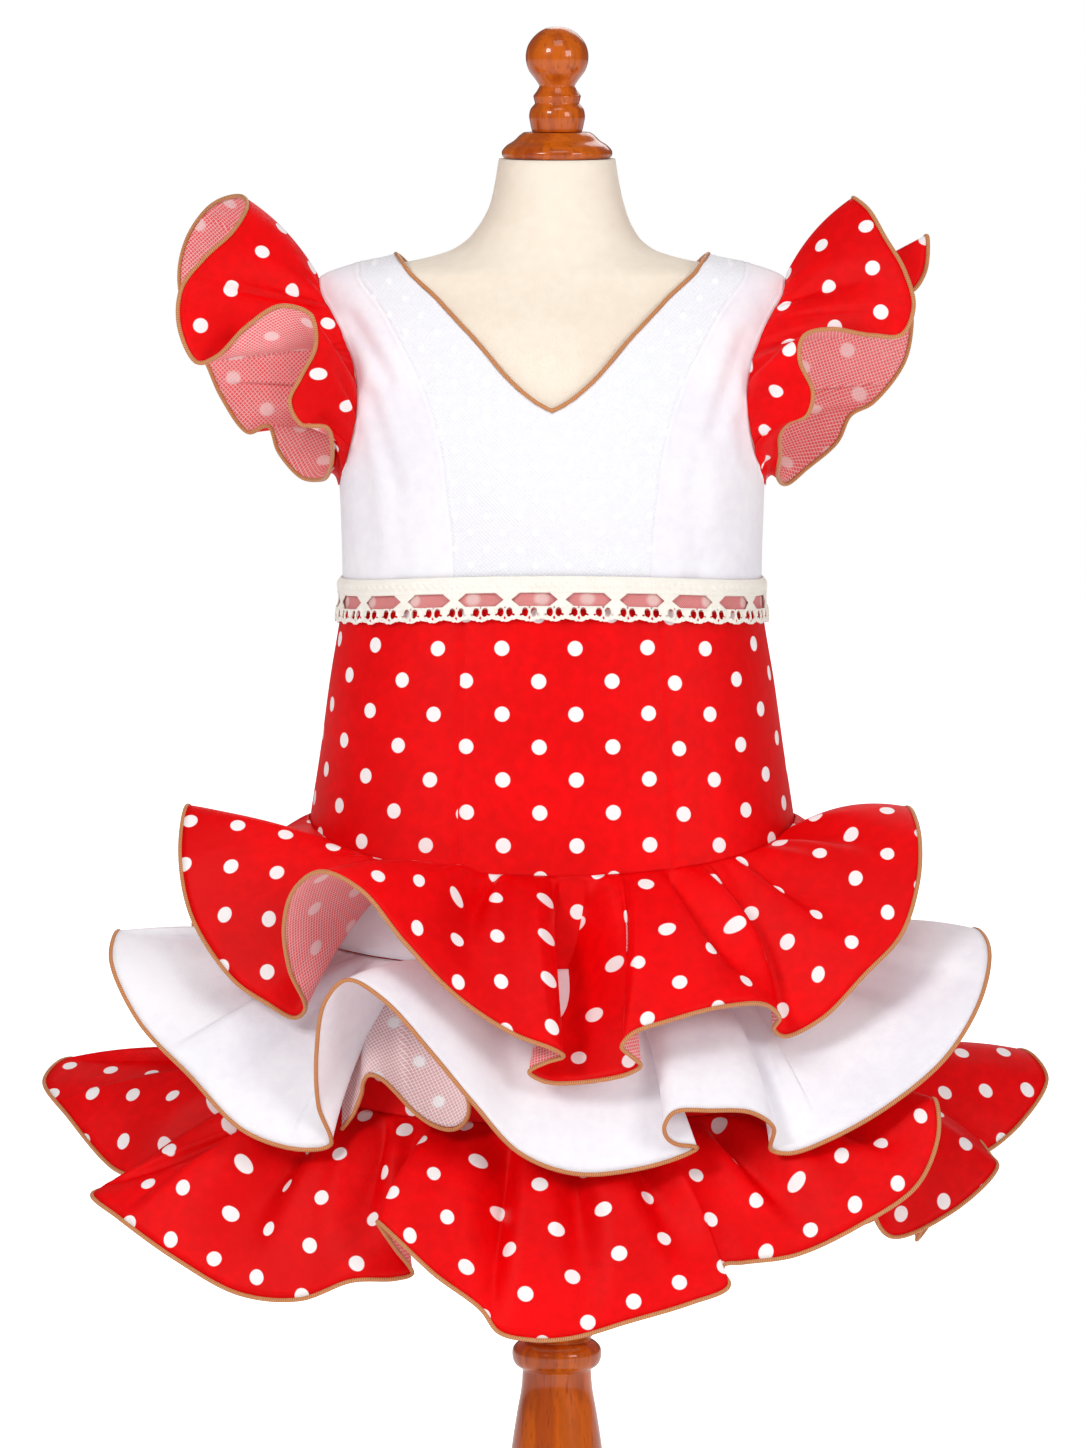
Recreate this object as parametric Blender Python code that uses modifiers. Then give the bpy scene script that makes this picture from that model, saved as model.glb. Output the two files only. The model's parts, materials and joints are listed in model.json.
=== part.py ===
"""A girl's flamenco dress, worn by a limbless child's dress form on a turned wooden stand.

Metres, +Z up. The front faces -Y and the origin is on the floor, under the middle of the base.
The tables are in millimetres. The ruffle tables give each turn of a hem as it is seen from the front:
across and height on the plane y = 0, with its depth, so that real places follow from the eye's place.
"""

import math

import bpy
import numpy as np

MM = 0.001

# Cloth and trim
CLOTH = 1.2
SEAM_GAP = 0.3
SEAM_LIFT = 0.9
NECK_GAP = 0.6
NECK_LIFT = 0.2
HEM_GAP = 0.8
PIPING_RADIUS = 1.35
LACE_WALL = 1.0
RIBBON_WALL = 0.5

# The eye that sees the hems, in front of the dress
EYE = np.array((0.0, -4200.0, 1037.0))

# How much squarer than an ellipse a level section is
SQUARENESS = 0.09

# The dress form: level sections from its underside to the top of its neck
FORM_COLUMNS = ("z", "half_width", "half_depth", "ease")
FORM_SECTIONS = (
    (374.0, 96.0, 74.0, 8.0),
    (420.0, 106.0, 81.0, 6.0),
    (480.0, 112.0, 85.0, 5.0),
    (540.0, 113.0, 84.0, 4.0),
    (600.0, 110.0, 77.0, 3.0),
    (640.0, 107.5, 71.5, 2.0),
    (670.0, 107.5, 71.5, 2.0),
    (702.0, 108.2, 73.5, 2.2),
    (735.0, 110.0, 72.0, 2.0),
    (760.0, 113.0, 68.0, 1.8),
    (785.0, 118.0, 60.0, 1.5),
    (800.0, 121.0, 53.0, 1.2),
    (810.0, 122.8, 46.5, 1.0),
    (815.0, 122.8, 43.0, 0.8),
    (819.0, 121.0, 40.5, 0.7),
    (821.5, 117.5, 39.0, 0.7),
    (823.8, 110.0, 37.8, 1.1),
    (825.5, 100.0, 36.8, 2.3),
    (827.2, 88.0, 35.8, 3.2),
    (828.5, 78.0, 35.0, 4.2),
    (831.0, 66.0, 33.6, 4.4),
    (834.0, 56.0, 32.4, 4.4),
    (839.0, 47.5, 31.2, 4.4),
    (846.0, 41.5, 30.2, 4.4),
    (857.0, 36.0, 29.4, 4.4),
    (870.0, 32.8, 28.8, 4.4),
    (883.0, 30.7, 28.2, 4.4),
)

# The hip skirt's outer side
SKIRT_COLUMNS = ("z", "half_width", "half_depth")
SKIRT_SECTIONS = (
    (372.0, 149.0, 110.0),
    (420.0, 143.0, 104.5),
    (460.0, 138.0, 99.5),
    (500.0, 133.0, 94.0),
    (535.0, 128.4, 89.5),
    (570.0, 123.0, 85.5),
    (610.0, 117.4, 81.5),
    (637.0, 112.8, 78.0),
    (648.0, 111.2, 76.6),
    (672.0, 110.8, 76.0),
)
SKIRT_TOP = 648.2
SKIRT_BOTTOM = 374.0

# The waist line stands a little higher at the front and the back than at the sides
WAIST = 648.5
WAIST_RISE = 7.0
WAIST_FADE = 52.0

# Bodice edges on the form, one row for each height, from the waist to the shoulder seam
EDGE_COLUMNS = ("across", "z")
NECK_EDGE = (
    (0.0, WAIST),
    (0.0, 690.0),
    (0.0, 711.0),
    (0.0, 732.0),
    (0.0, 752.5),
    (24.4, 772.0),
    (40.8, 789.0),
    (51.8, 800.0),
    (62.0, 810.5),
    (71.5, 819.0),
    (78.8, 825.2),
    (83.0, 827.9),
)
BACK_NECK_EDGE = (
    (0.0, WAIST),
    (0.0, 690.0),
    (0.0, 711.0),
    (0.0, 732.0),
    (0.0, 752.0),
    (0.0, 771.0),
    (0.0, 787.0),
    (0.0, 797.0),
    (0.0, 804.0),
    (34.0, 807.0),
    (64.0, 815.0),
    (83.0, 827.9),
)
PRINCESS_EDGE = (
    (50.0, WAIST),
    (51.6, 690.0),
    (54.0, 711.0),
    (56.0, 729.0),
    (61.5, 752.0),
    (68.5, 770.0),
    (77.5, 787.0),
    (83.0, 797.0),
    (88.5, 806.0),
    (95.0, 814.0),
    (100.0, 820.5),
    (101.3, 825.3),
)
ARM_EDGE = (
    (108.0, WAIST),
    (108.2, 690.0),
    (108.6, 711.0),
    (104.5, 726.0),
    (100.6, 745.0),
    (99.6, 760.0),
    (101.6, 776.0),
    (105.2, 786.0),
    (109.0, 795.0),
    (114.0, 804.0),
    (118.5, 811.0),
    (121.3, 818.6),
)
SHOULDER_RANGE = (816.0, 829.0)
SHOULDER_TURN = math.radians(0.35)
SIDE_TURN = math.radians(0.2)
EDGE_ROWS = (0, 1, 2, 2.3, 2.65, 3, 4, 5, 6, 7, 8, 8.5, 9, 9.5, 10, 10.5, 10.85, 11)
MIDDLE_SHARES = (0, 0.33, 0.66, 1)
SIDE_SHARES = (0, 0.33, 0.64, 0.92, 1)
BACK_SHARES = (0, 0.33, 0.66, 1)
UNDERARM_ROW = 2
V_POINT_ROW = 4
BACK_NECK_ROW = 8

# Skirt seams: the angle of each seam at the waist and at the lower edge, in degrees from the front
SKIRT_BACK_SEAM_L = (-180.0, -180.0)
SKIRT_SIDE_SEAM_L = (-90.0, -90.0)
SKIRT_FRONT_SEAM_L = (-23.2, -17.5)
SKIRT_FRONT_SEAM_R = (27.7, 24.5)
SKIRT_SIDE_SEAM_R = (90.0, 90.0)
SKIRT_BACK_SEAM_R = (180.0, 180.0)
SKIRT_PANELS = (
    ("skirt_back_L", SKIRT_BACK_SEAM_L, SKIRT_SIDE_SEAM_L, 9),
    ("skirt_front_side_L", SKIRT_SIDE_SEAM_L, SKIRT_FRONT_SEAM_L, 7),
    ("skirt_front_center", SKIRT_FRONT_SEAM_L, SKIRT_FRONT_SEAM_R, 7),
    ("skirt_front_side_R", SKIRT_FRONT_SEAM_R, SKIRT_SIDE_SEAM_R, 7),
    ("skirt_back_R", SKIRT_SIDE_SEAM_R, SKIRT_BACK_SEAM_R, 9),
)

# The lace band and the ribbon under its windows
LACE_BOTTOM = 638.5
LACE_HEIGHT = 24.0
LACE_LIFT = 1.9
WINDOWS_PER_HALF = 11
WINDOW_LOW = 8.2
WINDOW_HIGH = 15.2
WINDOW_NARROW = 0.07
WINDOW_WIDE = 0.22
RIBBON_LIFT = 0.6
RIBBON_BOTTOM = 6.6
RIBBON_HEIGHT = 10.4
RIBBON_COLUMNS = 44

# The three hem ruffles: seam heights at the side, and how much lower the seam dips at the front and back
# Columns: name, seam_side_z, front_dip, back_dip, depth, back_folds, back_lean, back_sway
TIERS = (
    ("tier1", 535.0, 21.0, 8.0, 108.0, 5, 50.0, 12.0),
    ("tier2", 478.0, 12.0, 5.0, 112.0, 5, 48.0, 12.0),
    ("tier3", 402.0, 16.0, 6.0, 124.0, 5, 37.0, 12.0),
)
TIER_HEM_POINTS = 92
TIER_ROWS = 2
TIER_BOW_MOST = 5.0
DIP_POWER = 1.3

# Hidden back folds lean out from hanging straight by the back_lean, in degrees, and swing sideways
BACK_SWING = 5.0
BACK_REACH = 0.92
STEPS_PER_BACK_FOLD = 4

# The form, with the dress on it, leans a little to the left of the wood, and its neck comes back over it
DRESS_SHIFT = -2.6
NECK_BEND = (829.5, 858.0)

# Hem turns seen from the front, from the left side to the right side
TURN_COLUMNS = ("seam_deg", "across", "height", "depth_y")
TIER1_TURNS = (
    (-94, -185, 471, 14),
    (-86, -180, 488, -2),
    (-76, -177, 507, -14),
    (-68, -180, 513, -20),
    (-60, -185, 524, -26),
    (-52, -193, 540, -45),
    (-48, -197, 515, -66),
    (-44, -191, 481, -82),
    (-40, -169, 447, -98),
    (-36.5, -152, 435, -104),
    (-33, -137, 427, -104),
    (-31, -131, 432, -108),
    (-28, -139, 452, -118),
    (-25, -142, 476, -130),
    (-22, -136, 496, -144),
    (-19, -122, 505, -154),
    (-16, -101, 495, -160),
    (-13, -78, 467, -162),
    (-9.5, -50, 438, -158),
    (-6, -20, 418, -156),
    (-2.5, 0, 410, -151),
    (-0.5, 6, 406, -144),
    (1, -3, 403, -139),
    (2.5, -12, 398, -135),
    (5, -3, 393, -135),
    (9, 20, 394, -144),
    (13, 41, 397, -152),
    (15, 47, 401, -146),
    (16.5, 40, 406, -137),
    (18, 37, 411, -131),
    (20, 43, 418, -126),
    (24, 64, 426, -128),
    (28, 91, 433, -129),
    (32, 113, 434, -127),
    (34.5, 121, 427, -122),
    (36, 118, 421, -118),
    (38, 124, 417, -117),
    (42, 144, 427, -120),
    (47, 166, 450, -118),
    (52, 185, 471, -108),
    (58, 194, 500, -92),
    (64, 194, 527, -68),
    (70, 187, 539, -38),
    (78, 176, 512, -20),
    (86, 180, 488, -2),
    (94, 185, 470, 14),
)
TIER2_TURNS = (
    (-104, -202, 430, 56),
    (-92, -220, 444, 26),
    (-84, -212, 438, 10),
    (-75, -213, 442, -12),
    (-66, -222, 458, -28),
    (-58, -230, 473, -42),
    (-53, -234, 457, -62),
    (-48, -219, 424, -80),
    (-43, -193, 396, -96),
    (-38, -164, 366, -110),
    (-34, -134, 356, -114),
    (-30.5, -118, 359, -115),
    (-28, -124, 379, -122),
    (-25, -125, 409, -136),
    (-22, -120, 436, -150),
    (-19, -108, 447, -158),
    (-16, -89, 436, -162),
    (-12.5, -64, 408, -162),
    (-9, -41, 380, -158),
    (-5, -17, 354, -152),
    (0, 12, 343, -148),
    (5, 43, 345, -146),
    (9, 68, 352, -147),
    (12, 77, 357, -144),
    (13.7, 66, 359, -138),
    (15.2, 61, 363, -137),
    (17.2, 60, 369, -130),
    (19.2, 65, 376, -127),
    (23, 85, 377, -131),
    (28, 106, 376, -133),
    (31.5, 118, 368, -130),
    (34, 117, 356, -126),
    (37, 127, 354, -126),
    (41, 149, 362, -127),
    (46, 180, 380, -125),
    (52, 209, 405, -116),
    (58, 227, 435, -100),
    (64, 232, 463, -72),
    (70, 223, 474, -40),
    (80, 206, 448, -4),
    (91, 214, 444, 24),
    (104, 198, 430, 56),
)
TIER3_TURNS = (
    (-96, -253, 404, 52),
    (-90, -270, 393, 28),
    (-82, -257, 373, 0),
    (-74, -234, 346, -25),
    (-67, -215, 338, -46),
    (-61, -232, 336, -62),
    (-56, -245, 331, -80),
    (-52, -231, 319, -97),
    (-46, -201, 297, -114),
    (-41, -167, 278, -126),
    (-36, -135, 275, -134),
    (-31, -107, 285, -140),
    (-28, -84, 286, -138),
    (-25.5, -75, 289, -134),
    (-23, -84, 303, -144),
    (-20.5, -93, 317, -152),
    (-18, -83, 308, -162),
    (-14.5, -62, 288, -166),
    (-10, -38, 270, -170),
    (-6.5, -28, 257, -174),
    (-3, -12, 253, -175),
    (1, 10, 254, -174),
    (7, 41, 263, -170),
    (13, 74, 273, -163),
    (16.5, 94, 282, -154),
    (19, 91, 293, -148),
    (22, 103, 295, -142),
    (28, 130, 299, -142),
    (35, 164, 315, -142),
    (42, 194, 336, -136),
    (48, 205, 361, -126),
    (51.5, 205, 378, -118),
    (53.8, 202, 383, -110),
    (58, 188, 366, -96),
    (62, 171, 328, -86),
    (66, 181, 309, -78),
    (70, 214, 323, -66),
    (75, 240, 343, -48),
    (79, 226, 361, -26),
    (83, 231, 355, -10),
    (88, 250, 371, 8),
    (93, 263, 395, 30),
    (97, 247, 409, 48),
)
TIER_TURNS = {"tier1": TIER1_TURNS, "tier2": TIER2_TURNS, "tier3": TIER3_TURNS}

# Sleeve ruffles: place round the armhole (0 shoulder, 1 underarm, 2 shoulder again by the back)
SLEEVE_COLUMNS = ("round_armhole", "across", "height", "depth_y")
SLEEVE_LEFT_TURNS = (
    (0.00, -164, 863, 8),
    (0.05, -160, 858, -8),
    (0.10, -168, 844, -26),
    (0.16, -183, 830, -38),
    (0.22, -195, 814, -46),
    (0.28, -196, 794, -48),
    (0.33, -187, 776, -54),
    (0.37, -176, 779, -60),
    (0.42, -161, 794, -65),
    (0.48, -143, 805, -70),
    (0.54, -127, 800, -72),
    (0.60, -124, 785, -68),
    (0.66, -132, 768, -60),
    (0.72, -138, 755, -58),
    (0.78, -132, 743, -56),
    (0.85, -119, 741, -52),
    (0.93, -116, 730, -38),
    (1.00, -118, 717, -16),
    (1.06, -123, 714, 4),
    (1.12, -133, 716, 20),
    (1.18, -144, 729, 28),
    (1.24, -149, 742, 31),
    (1.30, -160, 739, 38),
    (1.40, -174, 758, 46),
    (1.50, -181, 774, 50),
    (1.60, -190, 793, 52),
    (1.70, -196, 819, 48),
    (1.80, -192, 840, 40),
    (1.90, -179, 858, 26),
)
SLEEVE_RIGHT_TURNS = (
    (0.00, 158, 862, 0),
    (0.06, 166, 856, -14),
    (0.12, 175, 841, -28),
    (0.18, 185, 824, -40),
    (0.24, 190, 805, -48),
    (0.30, 184, 791, -50),
    (0.36, 167, 790, -52),
    (0.43, 146, 793, -58),
    (0.49, 132, 789, -62),
    (0.55, 130, 777, -62),
    (0.62, 137, 760, -56),
    (0.68, 134, 748, -52),
    (0.75, 125, 744, -47),
    (0.82, 120, 738, -39),
    (0.92, 120, 727, -25),
    (1.00, 119, 715, -4),
    (1.07, 124, 712, 10),
    (1.14, 134, 720, 20),
    (1.22, 150, 734, 30),
    (1.30, 157, 748, 36),
    (1.38, 169, 755, 42),
    (1.47, 185, 776, 48),
    (1.56, 189, 795, 50),
    (1.65, 191, 818, 46),
    (1.73, 195, 836, 38),
    (1.80, 186, 842, 28),
    (1.90, 169, 853, 16),
)
SLEEVE_DEPTH = 78.0
SLEEVE_HEM_POINTS = 52
SLEEVE_ROWS = 2
SLEEVE_BOW_MOST = 3.0

# Turned wood: height and radius down the outer side of each piece
# Columns: z, radius
FINIAL_PROFILE = (
    (952.5, 0.0),
    (951.2, 6.5),
    (947.4, 11.9),
    (942.0, 15.5),
    (936.0, 16.5),
    (929.5, 14.9),
    (924.0, 11.0),
    (921.2, 9.2),
    (919.0, 10.4),
    (916.0, 12.6),
    (912.0, 11.6),
    (909.0, 14.0),
    (905.5, 14.7),
    (901.0, 14.0),
    (897.2, 13.2),
    (897.2, 0.0),
)
NECK_CAP_PROFILE = (
    (896.9, 0.0),
    (896.9, 17.5),
    (895.6, 19.4),
    (892.6, 22.6),
    (889.4, 27.2),
    (886.6, 29.1),
    (884.2, 28.6),
    (883.3, 27.4),
    (883.3, 0.0),
)
COLUMN_PROFILE = (
    (373.7, 0.0),
    (373.7, 24.0),
    (367.7, 24.0),
    (365.7, 14.0),
    (300.0, 14.0),
    (280.0, 15.5),
    (266.0, 19.8),
    (258.5, 21.0),
    (253.0, 17.5),
    (251.6, 20.5),
    (248.5, 23.4),
    (244.5, 23.9),
    (240.0, 22.4),
    (237.0, 18.4),
    (230.0, 18.7),
    (212.0, 21.6),
    (193.0, 24.4),
    (166.0, 27.0),
    (136.0, 25.0),
    (110.0, 19.6),
    (98.0, 17.6),
    (94.0, 22.0),
    (89.0, 24.0),
    (84.0, 22.0),
    (81.0, 18.5),
    (62.0, 22.0),
    (44.0, 32.0),
    (36.3, 36.0),
    (36.3, 0.0),
)
BASE_PROFILE = (
    (36.0, 0.0),
    (36.0, 44.0),
    (32.0, 52.0),
    (27.0, 66.0),
    (24.0, 120.0),
    (20.0, 137.0),
    (12.0, 145.0),
    (3.0, 146.0),
    (0.0, 143.0),
    (0.0, 0.0),
)
COLUMN_STEPS = 16
BASE_STEPS = 24

# Concealed zip: its slider under the back neck, and the pull tab that hangs from the slider's arch
ZIP_Z = 790.0
SLIDER_WIDTH = 4.6
SLIDER_THICK = 1.6
SLIDER_LENGTH = 9.0
ARCH_WIDTH = 1.1
ARCH_WALL = 0.8
ARCH_INSIDE = (3.0, 2.6)
PULL_WIDTH = 4.8
PULL_THICK = 1.0
PULL_LENGTH = 19.0
PULL_BAR = 1.0
PULL_HOLE = (2.4, 3.6)

# Colours: red, green, blue, roughness, metallic
FINISHES = {
    "red_satin": (0.80, 0.01, 0.015, 0.45, 0.0),
    "white_cotton": (0.90, 0.89, 0.92, 0.7, 0.0),
    "dotted_muslin": (0.88, 0.88, 0.92, 0.8, 0.0),
    "cream_lace": (0.93, 0.90, 0.82, 0.8, 0.0),
    "pink_ribbon": (0.75, 0.25, 0.25, 0.4, 0.0),
    "gold_piping": (0.60, 0.36, 0.13, 0.4, 0.0),
    "cream_jersey": (0.88, 0.80, 0.68, 0.85, 0.0),
    "varnished_wood": (0.42, 0.12, 0.02, 0.25, 0.0),
    "white_metal": (0.80, 0.80, 0.82, 0.35, 0.6),
}


def clear_scene():
    for old in list(bpy.data.objects):
        bpy.data.objects.remove(old, do_unlink=True)


def collection(name):
    made = bpy.data.collections.new(name)
    bpy.context.scene.collection.children.link(made)
    return made


def make_materials():
    made = {}
    for name, (red, green, blue, roughness, metallic) in FINISHES.items():
        material = bpy.data.materials.new(name)
        material.use_nodes = True
        shader = material.node_tree.nodes["Principled BSDF"]
        shader.inputs["Base Color"].default_value = (red, green, blue, 1.0)
        shader.inputs["Roughness"].default_value = roughness
        shader.inputs["Metallic"].default_value = metallic
        made[name] = material
    return made


def smooth_at(knots, values, wanted):
    """A smooth curve through the values at the knots, read at the wanted places."""
    knots = np.asarray(knots, float)
    values = np.asarray(values, float)
    wanted = np.clip(wanted, knots[0], knots[-1])
    steps = np.diff(knots)
    slopes = np.diff(values, axis=0) / (steps if values.ndim == 1 else steps[:, None])
    before, after = slopes[:-1], slopes[1:]
    share = steps[1:] / (steps[:-1] + steps[1:])
    share = share if values.ndim == 1 else share[:, None]
    tangents = np.concatenate((slopes[:1], before * share + after * (1 - share), slopes[-1:]))
    place = np.clip(np.searchsorted(knots, wanted, side="right") - 1, 0, len(steps) - 1)
    span = steps[place]
    t = (wanted - knots[place]) / span
    if values.ndim > 1:
        t = t[..., None]
        span = span[..., None]
    return (
        (2 * t**3 - 3 * t**2 + 1) * values[place]
        + (t**3 - 2 * t**2 + t) * span * tangents[place]
        + (3 * t**2 - 2 * t**3) * values[place + 1]
        + (t**3 - t**2) * span * tangents[place + 1]
    )


def column(rows, columns, name):
    return np.array([row[columns.index(name)] for row in rows], float)


def half_sizes(rows, columns, z):
    knots = column(rows, columns, "z")
    width = smooth_at(knots, column(rows, columns, "half_width"), z)
    depth = smooth_at(knots, column(rows, columns, "half_depth"), z)
    return width, depth


def level_section(rows, columns, angle, z):
    """A point on the level section at height z. The angle runs from the front towards +X."""
    width, depth = half_sizes(rows, columns, z)
    x = width * np.sin(angle) * (1 + SQUARENESS * np.cos(angle) ** 2)
    y = -depth * np.cos(angle) * (1 + SQUARENESS * np.sin(angle) ** 2)
    return np.stack((x, y, z + 0 * angle), axis=-1)


def skin(rows, columns, angle, z, lift):
    """A point moved out by the lift from the surface through the sections, along its normal."""
    angle, z = np.broadcast_arrays(np.asarray(angle, float), np.asarray(z, float))
    small_angle, small_height = 0.01, 0.4
    round_way = level_section(rows, columns, angle + small_angle, z) - level_section(
        rows, columns, angle - small_angle, z
    )
    up_way = level_section(rows, columns, angle, z + small_height) - level_section(
        rows, columns, angle, z - small_height
    )
    normal = np.cross(round_way, up_way)
    normal /= np.linalg.norm(normal, axis=-1, keepdims=True)
    return level_section(rows, columns, angle, z) + normal * np.asarray(lift)[..., None]


def form_skin(angle, z, lift):
    return skin(FORM_SECTIONS, FORM_COLUMNS, angle, z, lift)


def bodice_skin(angle, z, lift):
    """The bodice's outer side: the form, with the dress's ease and the cloth on it."""
    ease = smooth_at(column(FORM_SECTIONS, FORM_COLUMNS, "z"), column(FORM_SECTIONS, FORM_COLUMNS, "ease"), z)
    return form_skin(angle, z, ease + CLOTH + lift)


def skirt_skin(angle, z, lift):
    return skin(SKIRT_SECTIONS, SKIRT_COLUMNS, angle, z, lift)


def angle_of(across, z):
    """The angle at which the form's section at height z is this far from the middle."""
    angles = np.linspace(0, math.pi / 2, 181)
    reach = np.sin(angles) * (1 + SQUARENESS * np.cos(angles) ** 2)
    width, _ = half_sizes(FORM_SECTIONS, FORM_COLUMNS, np.asarray(z, float))
    share = np.asarray(across, float) / width
    return np.interp(share, reach, angles)


def grid_faces(rows, columns, closed):
    """Quads of a grid of points that lies row after row. A closed grid joins its last column to its first."""
    faces = []
    for row in range(rows - 1):
        for place in range(columns if closed else columns - 1):
            beside = (place + 1) % columns
            this, below = row * columns, (row + 1) * columns
            faces.append((this + place, this + beside, below + beside, below + place))
    return faces


def mesh_object(name, points, faces, material, group):
    """An object from points in millimetres."""
    mesh = bpy.data.meshes.new(name)
    mesh.from_pydata((np.asarray(points).reshape(-1, 3) * MM).tolist(), [], faces)
    mesh.update()
    mesh.materials.append(material)
    mesh.shade_smooth()
    made = bpy.data.objects.new(name, mesh)
    group.objects.link(made)
    return made


def add_wall(made, thickness, offset):
    wall = made.modifiers.new("wall", "SOLIDIFY")
    wall.thickness = thickness * MM
    wall.offset = offset
    return made


def piping(name, points, material, group):
    """A closed cord of the piping's radius along the points."""
    curve = bpy.data.curves.new(name, "CURVE")
    curve.dimensions = "3D"
    curve.bevel_depth = PIPING_RADIUS * MM
    curve.bevel_resolution = 0
    curve.use_fill_caps = True
    spline = curve.splines.new("POLY")
    spline.points.add(len(points) - 1)
    for point, place in zip(spline.points, np.asarray(points) * MM):
        point.co = (*place, 1.0)
    spline.use_cyclic_u = True
    curve.materials.append(material)
    made = bpy.data.objects.new(name, curve)
    group.objects.link(made)
    return made


def turned(name, profile, steps, material, group):
    """A turned piece: its profile down the outer side, carried round the upright axis."""
    mesh = bpy.data.meshes.new(name)
    edges = [(place, place + 1) for place in range(len(profile) - 1)]
    mesh.from_pydata([(radius * MM, 0.0, z * MM) for z, radius in profile], edges, [])
    mesh.materials.append(material)
    made = bpy.data.objects.new(name, mesh)
    group.objects.link(made)
    screw = made.modifiers.new("turning", "SCREW")
    screw.axis = "Z"
    screw.steps = steps
    screw.render_steps = steps
    screw.use_merge_vertices = True
    screw.merge_threshold = 0.00001
    screw.use_smooth_shade = True
    return made


def make_form(materials, group):
    """The torso and neck: closed level rings from the underside to the neck's top."""
    heights = column(FORM_SECTIONS, FORM_COLUMNS, "z")
    around = 24
    angles = np.arange(around) * 2 * math.pi / around
    points = level_section(FORM_SECTIONS, FORM_COLUMNS, angles[None, :], heights[:, None])
    points[..., 0] -= DRESS_SHIFT * np.interp(points[..., 2], NECK_BEND, (0.0, 1.0))
    faces = grid_faces(len(heights), around, True)
    faces.append(tuple(reversed(range(around))))
    last = (len(heights) - 1) * around
    faces.append(tuple(range(last, last + around)))
    return mesh_object("form_torso", points, faces, materials["cream_jersey"], group)


def waist_rise(angle, z, line):
    """How much higher the waist line runs at the front and the back, fading away from the line."""
    fade = np.clip(1 - np.abs(z - line) / WAIST_FADE, 0, 1)
    return WAIST_RISE * np.cos(angle) ** 2 * fade


def shoulder_height(across):
    """The height at which the form's side, on the shoulder, is this far from the middle."""
    heights = np.linspace(*SHOULDER_RANGE, 200)
    width, _ = half_sizes(FORM_SECTIONS, FORM_COLUMNS, heights)
    return np.interp(-across, -width, heights)


def edge_places(rows, wanted, nudge):
    """Angle and height of a bodice edge at the wanted rows, nudged across. It ends at the shoulder."""
    wanted = np.asarray(wanted, float)
    place = np.arange(len(rows))
    across = smooth_at(place, column(rows, EDGE_COLUMNS, "across"), wanted) + nudge
    z = smooth_at(place, column(rows, EDGE_COLUMNS, "z"), wanted)
    z = np.minimum(z, shoulder_height(across))
    angle = angle_of(across, z)
    angle[wanted == place[-1]] = math.pi / 2 - SHOULDER_TURN
    if rows is ARM_EDGE:
        angle[wanted <= UNDERARM_ROW] = math.pi / 2 - SIDE_TURN
    return angle, z


def bodice_panel(name, inner, outer, side, back, shares, material, group, middle=False):
    """A panel between two edges. side is -1 or +1, and a middle panel is mirrored across the centre."""
    inner_nudge = 0.0 if middle else SEAM_GAP / 2
    inner_angle, inner_z = edge_places(inner, EDGE_ROWS, inner_nudge)
    outer_angle, outer_z = edge_places(outer, EDGE_ROWS, -SEAM_GAP / 2)
    share = np.array(shares)[None, :]
    angle = inner_angle[:, None] * (1 - share) + outer_angle[:, None] * share
    z = inner_z[:, None] * (1 - share) + outer_z[:, None] * share
    angle = math.pi - angle if back else angle
    z = z + waist_rise(angle, z, WAIST)
    points = bodice_skin(side * angle, z, 0.0)
    if middle:
        points[: V_POINT_ROW + 1, 0, 0] = 0.0
    if side * (-1 if back else 1) < 0:
        points = points[:, ::-1]
    made = mesh_object(name, points, grid_faces(len(EDGE_ROWS), len(shares), False), material, group)
    if middle:
        mirror = made.modifiers.new("other half", "MIRROR")
        mirror.merge_threshold = 0.0001
    return add_wall(made, CLOTH, -1)


def make_bodice(materials, group):
    white = materials["white_cotton"]
    muslin = materials["dotted_muslin"]
    front, princess, arm, back = NECK_EDGE, PRINCESS_EDGE, ARM_EDGE, BACK_NECK_EDGE
    bodice_panel("bodice_front_center", front, princess, 1, False, MIDDLE_SHARES, muslin, group, middle=True)
    for side, letter in ((-1, "L"), (1, "R")):
        bodice_panel(f"bodice_front_side_{letter}", princess, arm, side, False, SIDE_SHARES, white, group)
        bodice_panel(f"bodice_back_side_{letter}", princess, arm, side, True, SIDE_SHARES, white, group)
        bodice_panel(f"bodice_back_{letter}", back, princess, side, True, BACK_SHARES, white, group)


def skirt_panel(name, start, end, columns, material, group):
    """A skirt panel between two seams, each given by its angle at the waist and at the lower edge."""
    heights = np.array((SKIRT_TOP, 637.0, 610.0, 570.0, 535.0, 490.0, 430.0, SKIRT_BOTTOM))
    down = ((SKIRT_TOP - heights) / (SKIRT_TOP - SKIRT_BOTTOM))[:, None]
    gap = math.degrees(SEAM_GAP / 2 / 95)
    first = start[0] * (1 - down) + start[1] * down + gap
    last = end[0] * (1 - down) + end[1] * down - gap
    share = np.linspace(0, 1, columns)[None, :]
    angle = np.radians(first * (1 - share) + last * share)
    z = heights[:, None] + waist_rise(angle, heights[:, None], SKIRT_TOP)
    points = skirt_skin(angle, z, 0.0)[::-1]
    made = mesh_object(name, points, grid_faces(len(heights), columns, False), material, group)
    return add_wall(made, CLOTH, -1)


def make_skirt(materials, group):
    for name, start, end, columns in SKIRT_PANELS:
        skirt_panel(name, start, end, columns, materials["red_satin"], group)


def band_point(angle, height, lift):
    """A point of the lace band's place, height above its lower edge."""
    z = LACE_BOTTOM + height
    return skirt_skin(angle, z, lift) + np.stack((0 * angle, 0 * angle, WAIST_RISE * np.cos(angle) ** 2), axis=-1)


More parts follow.
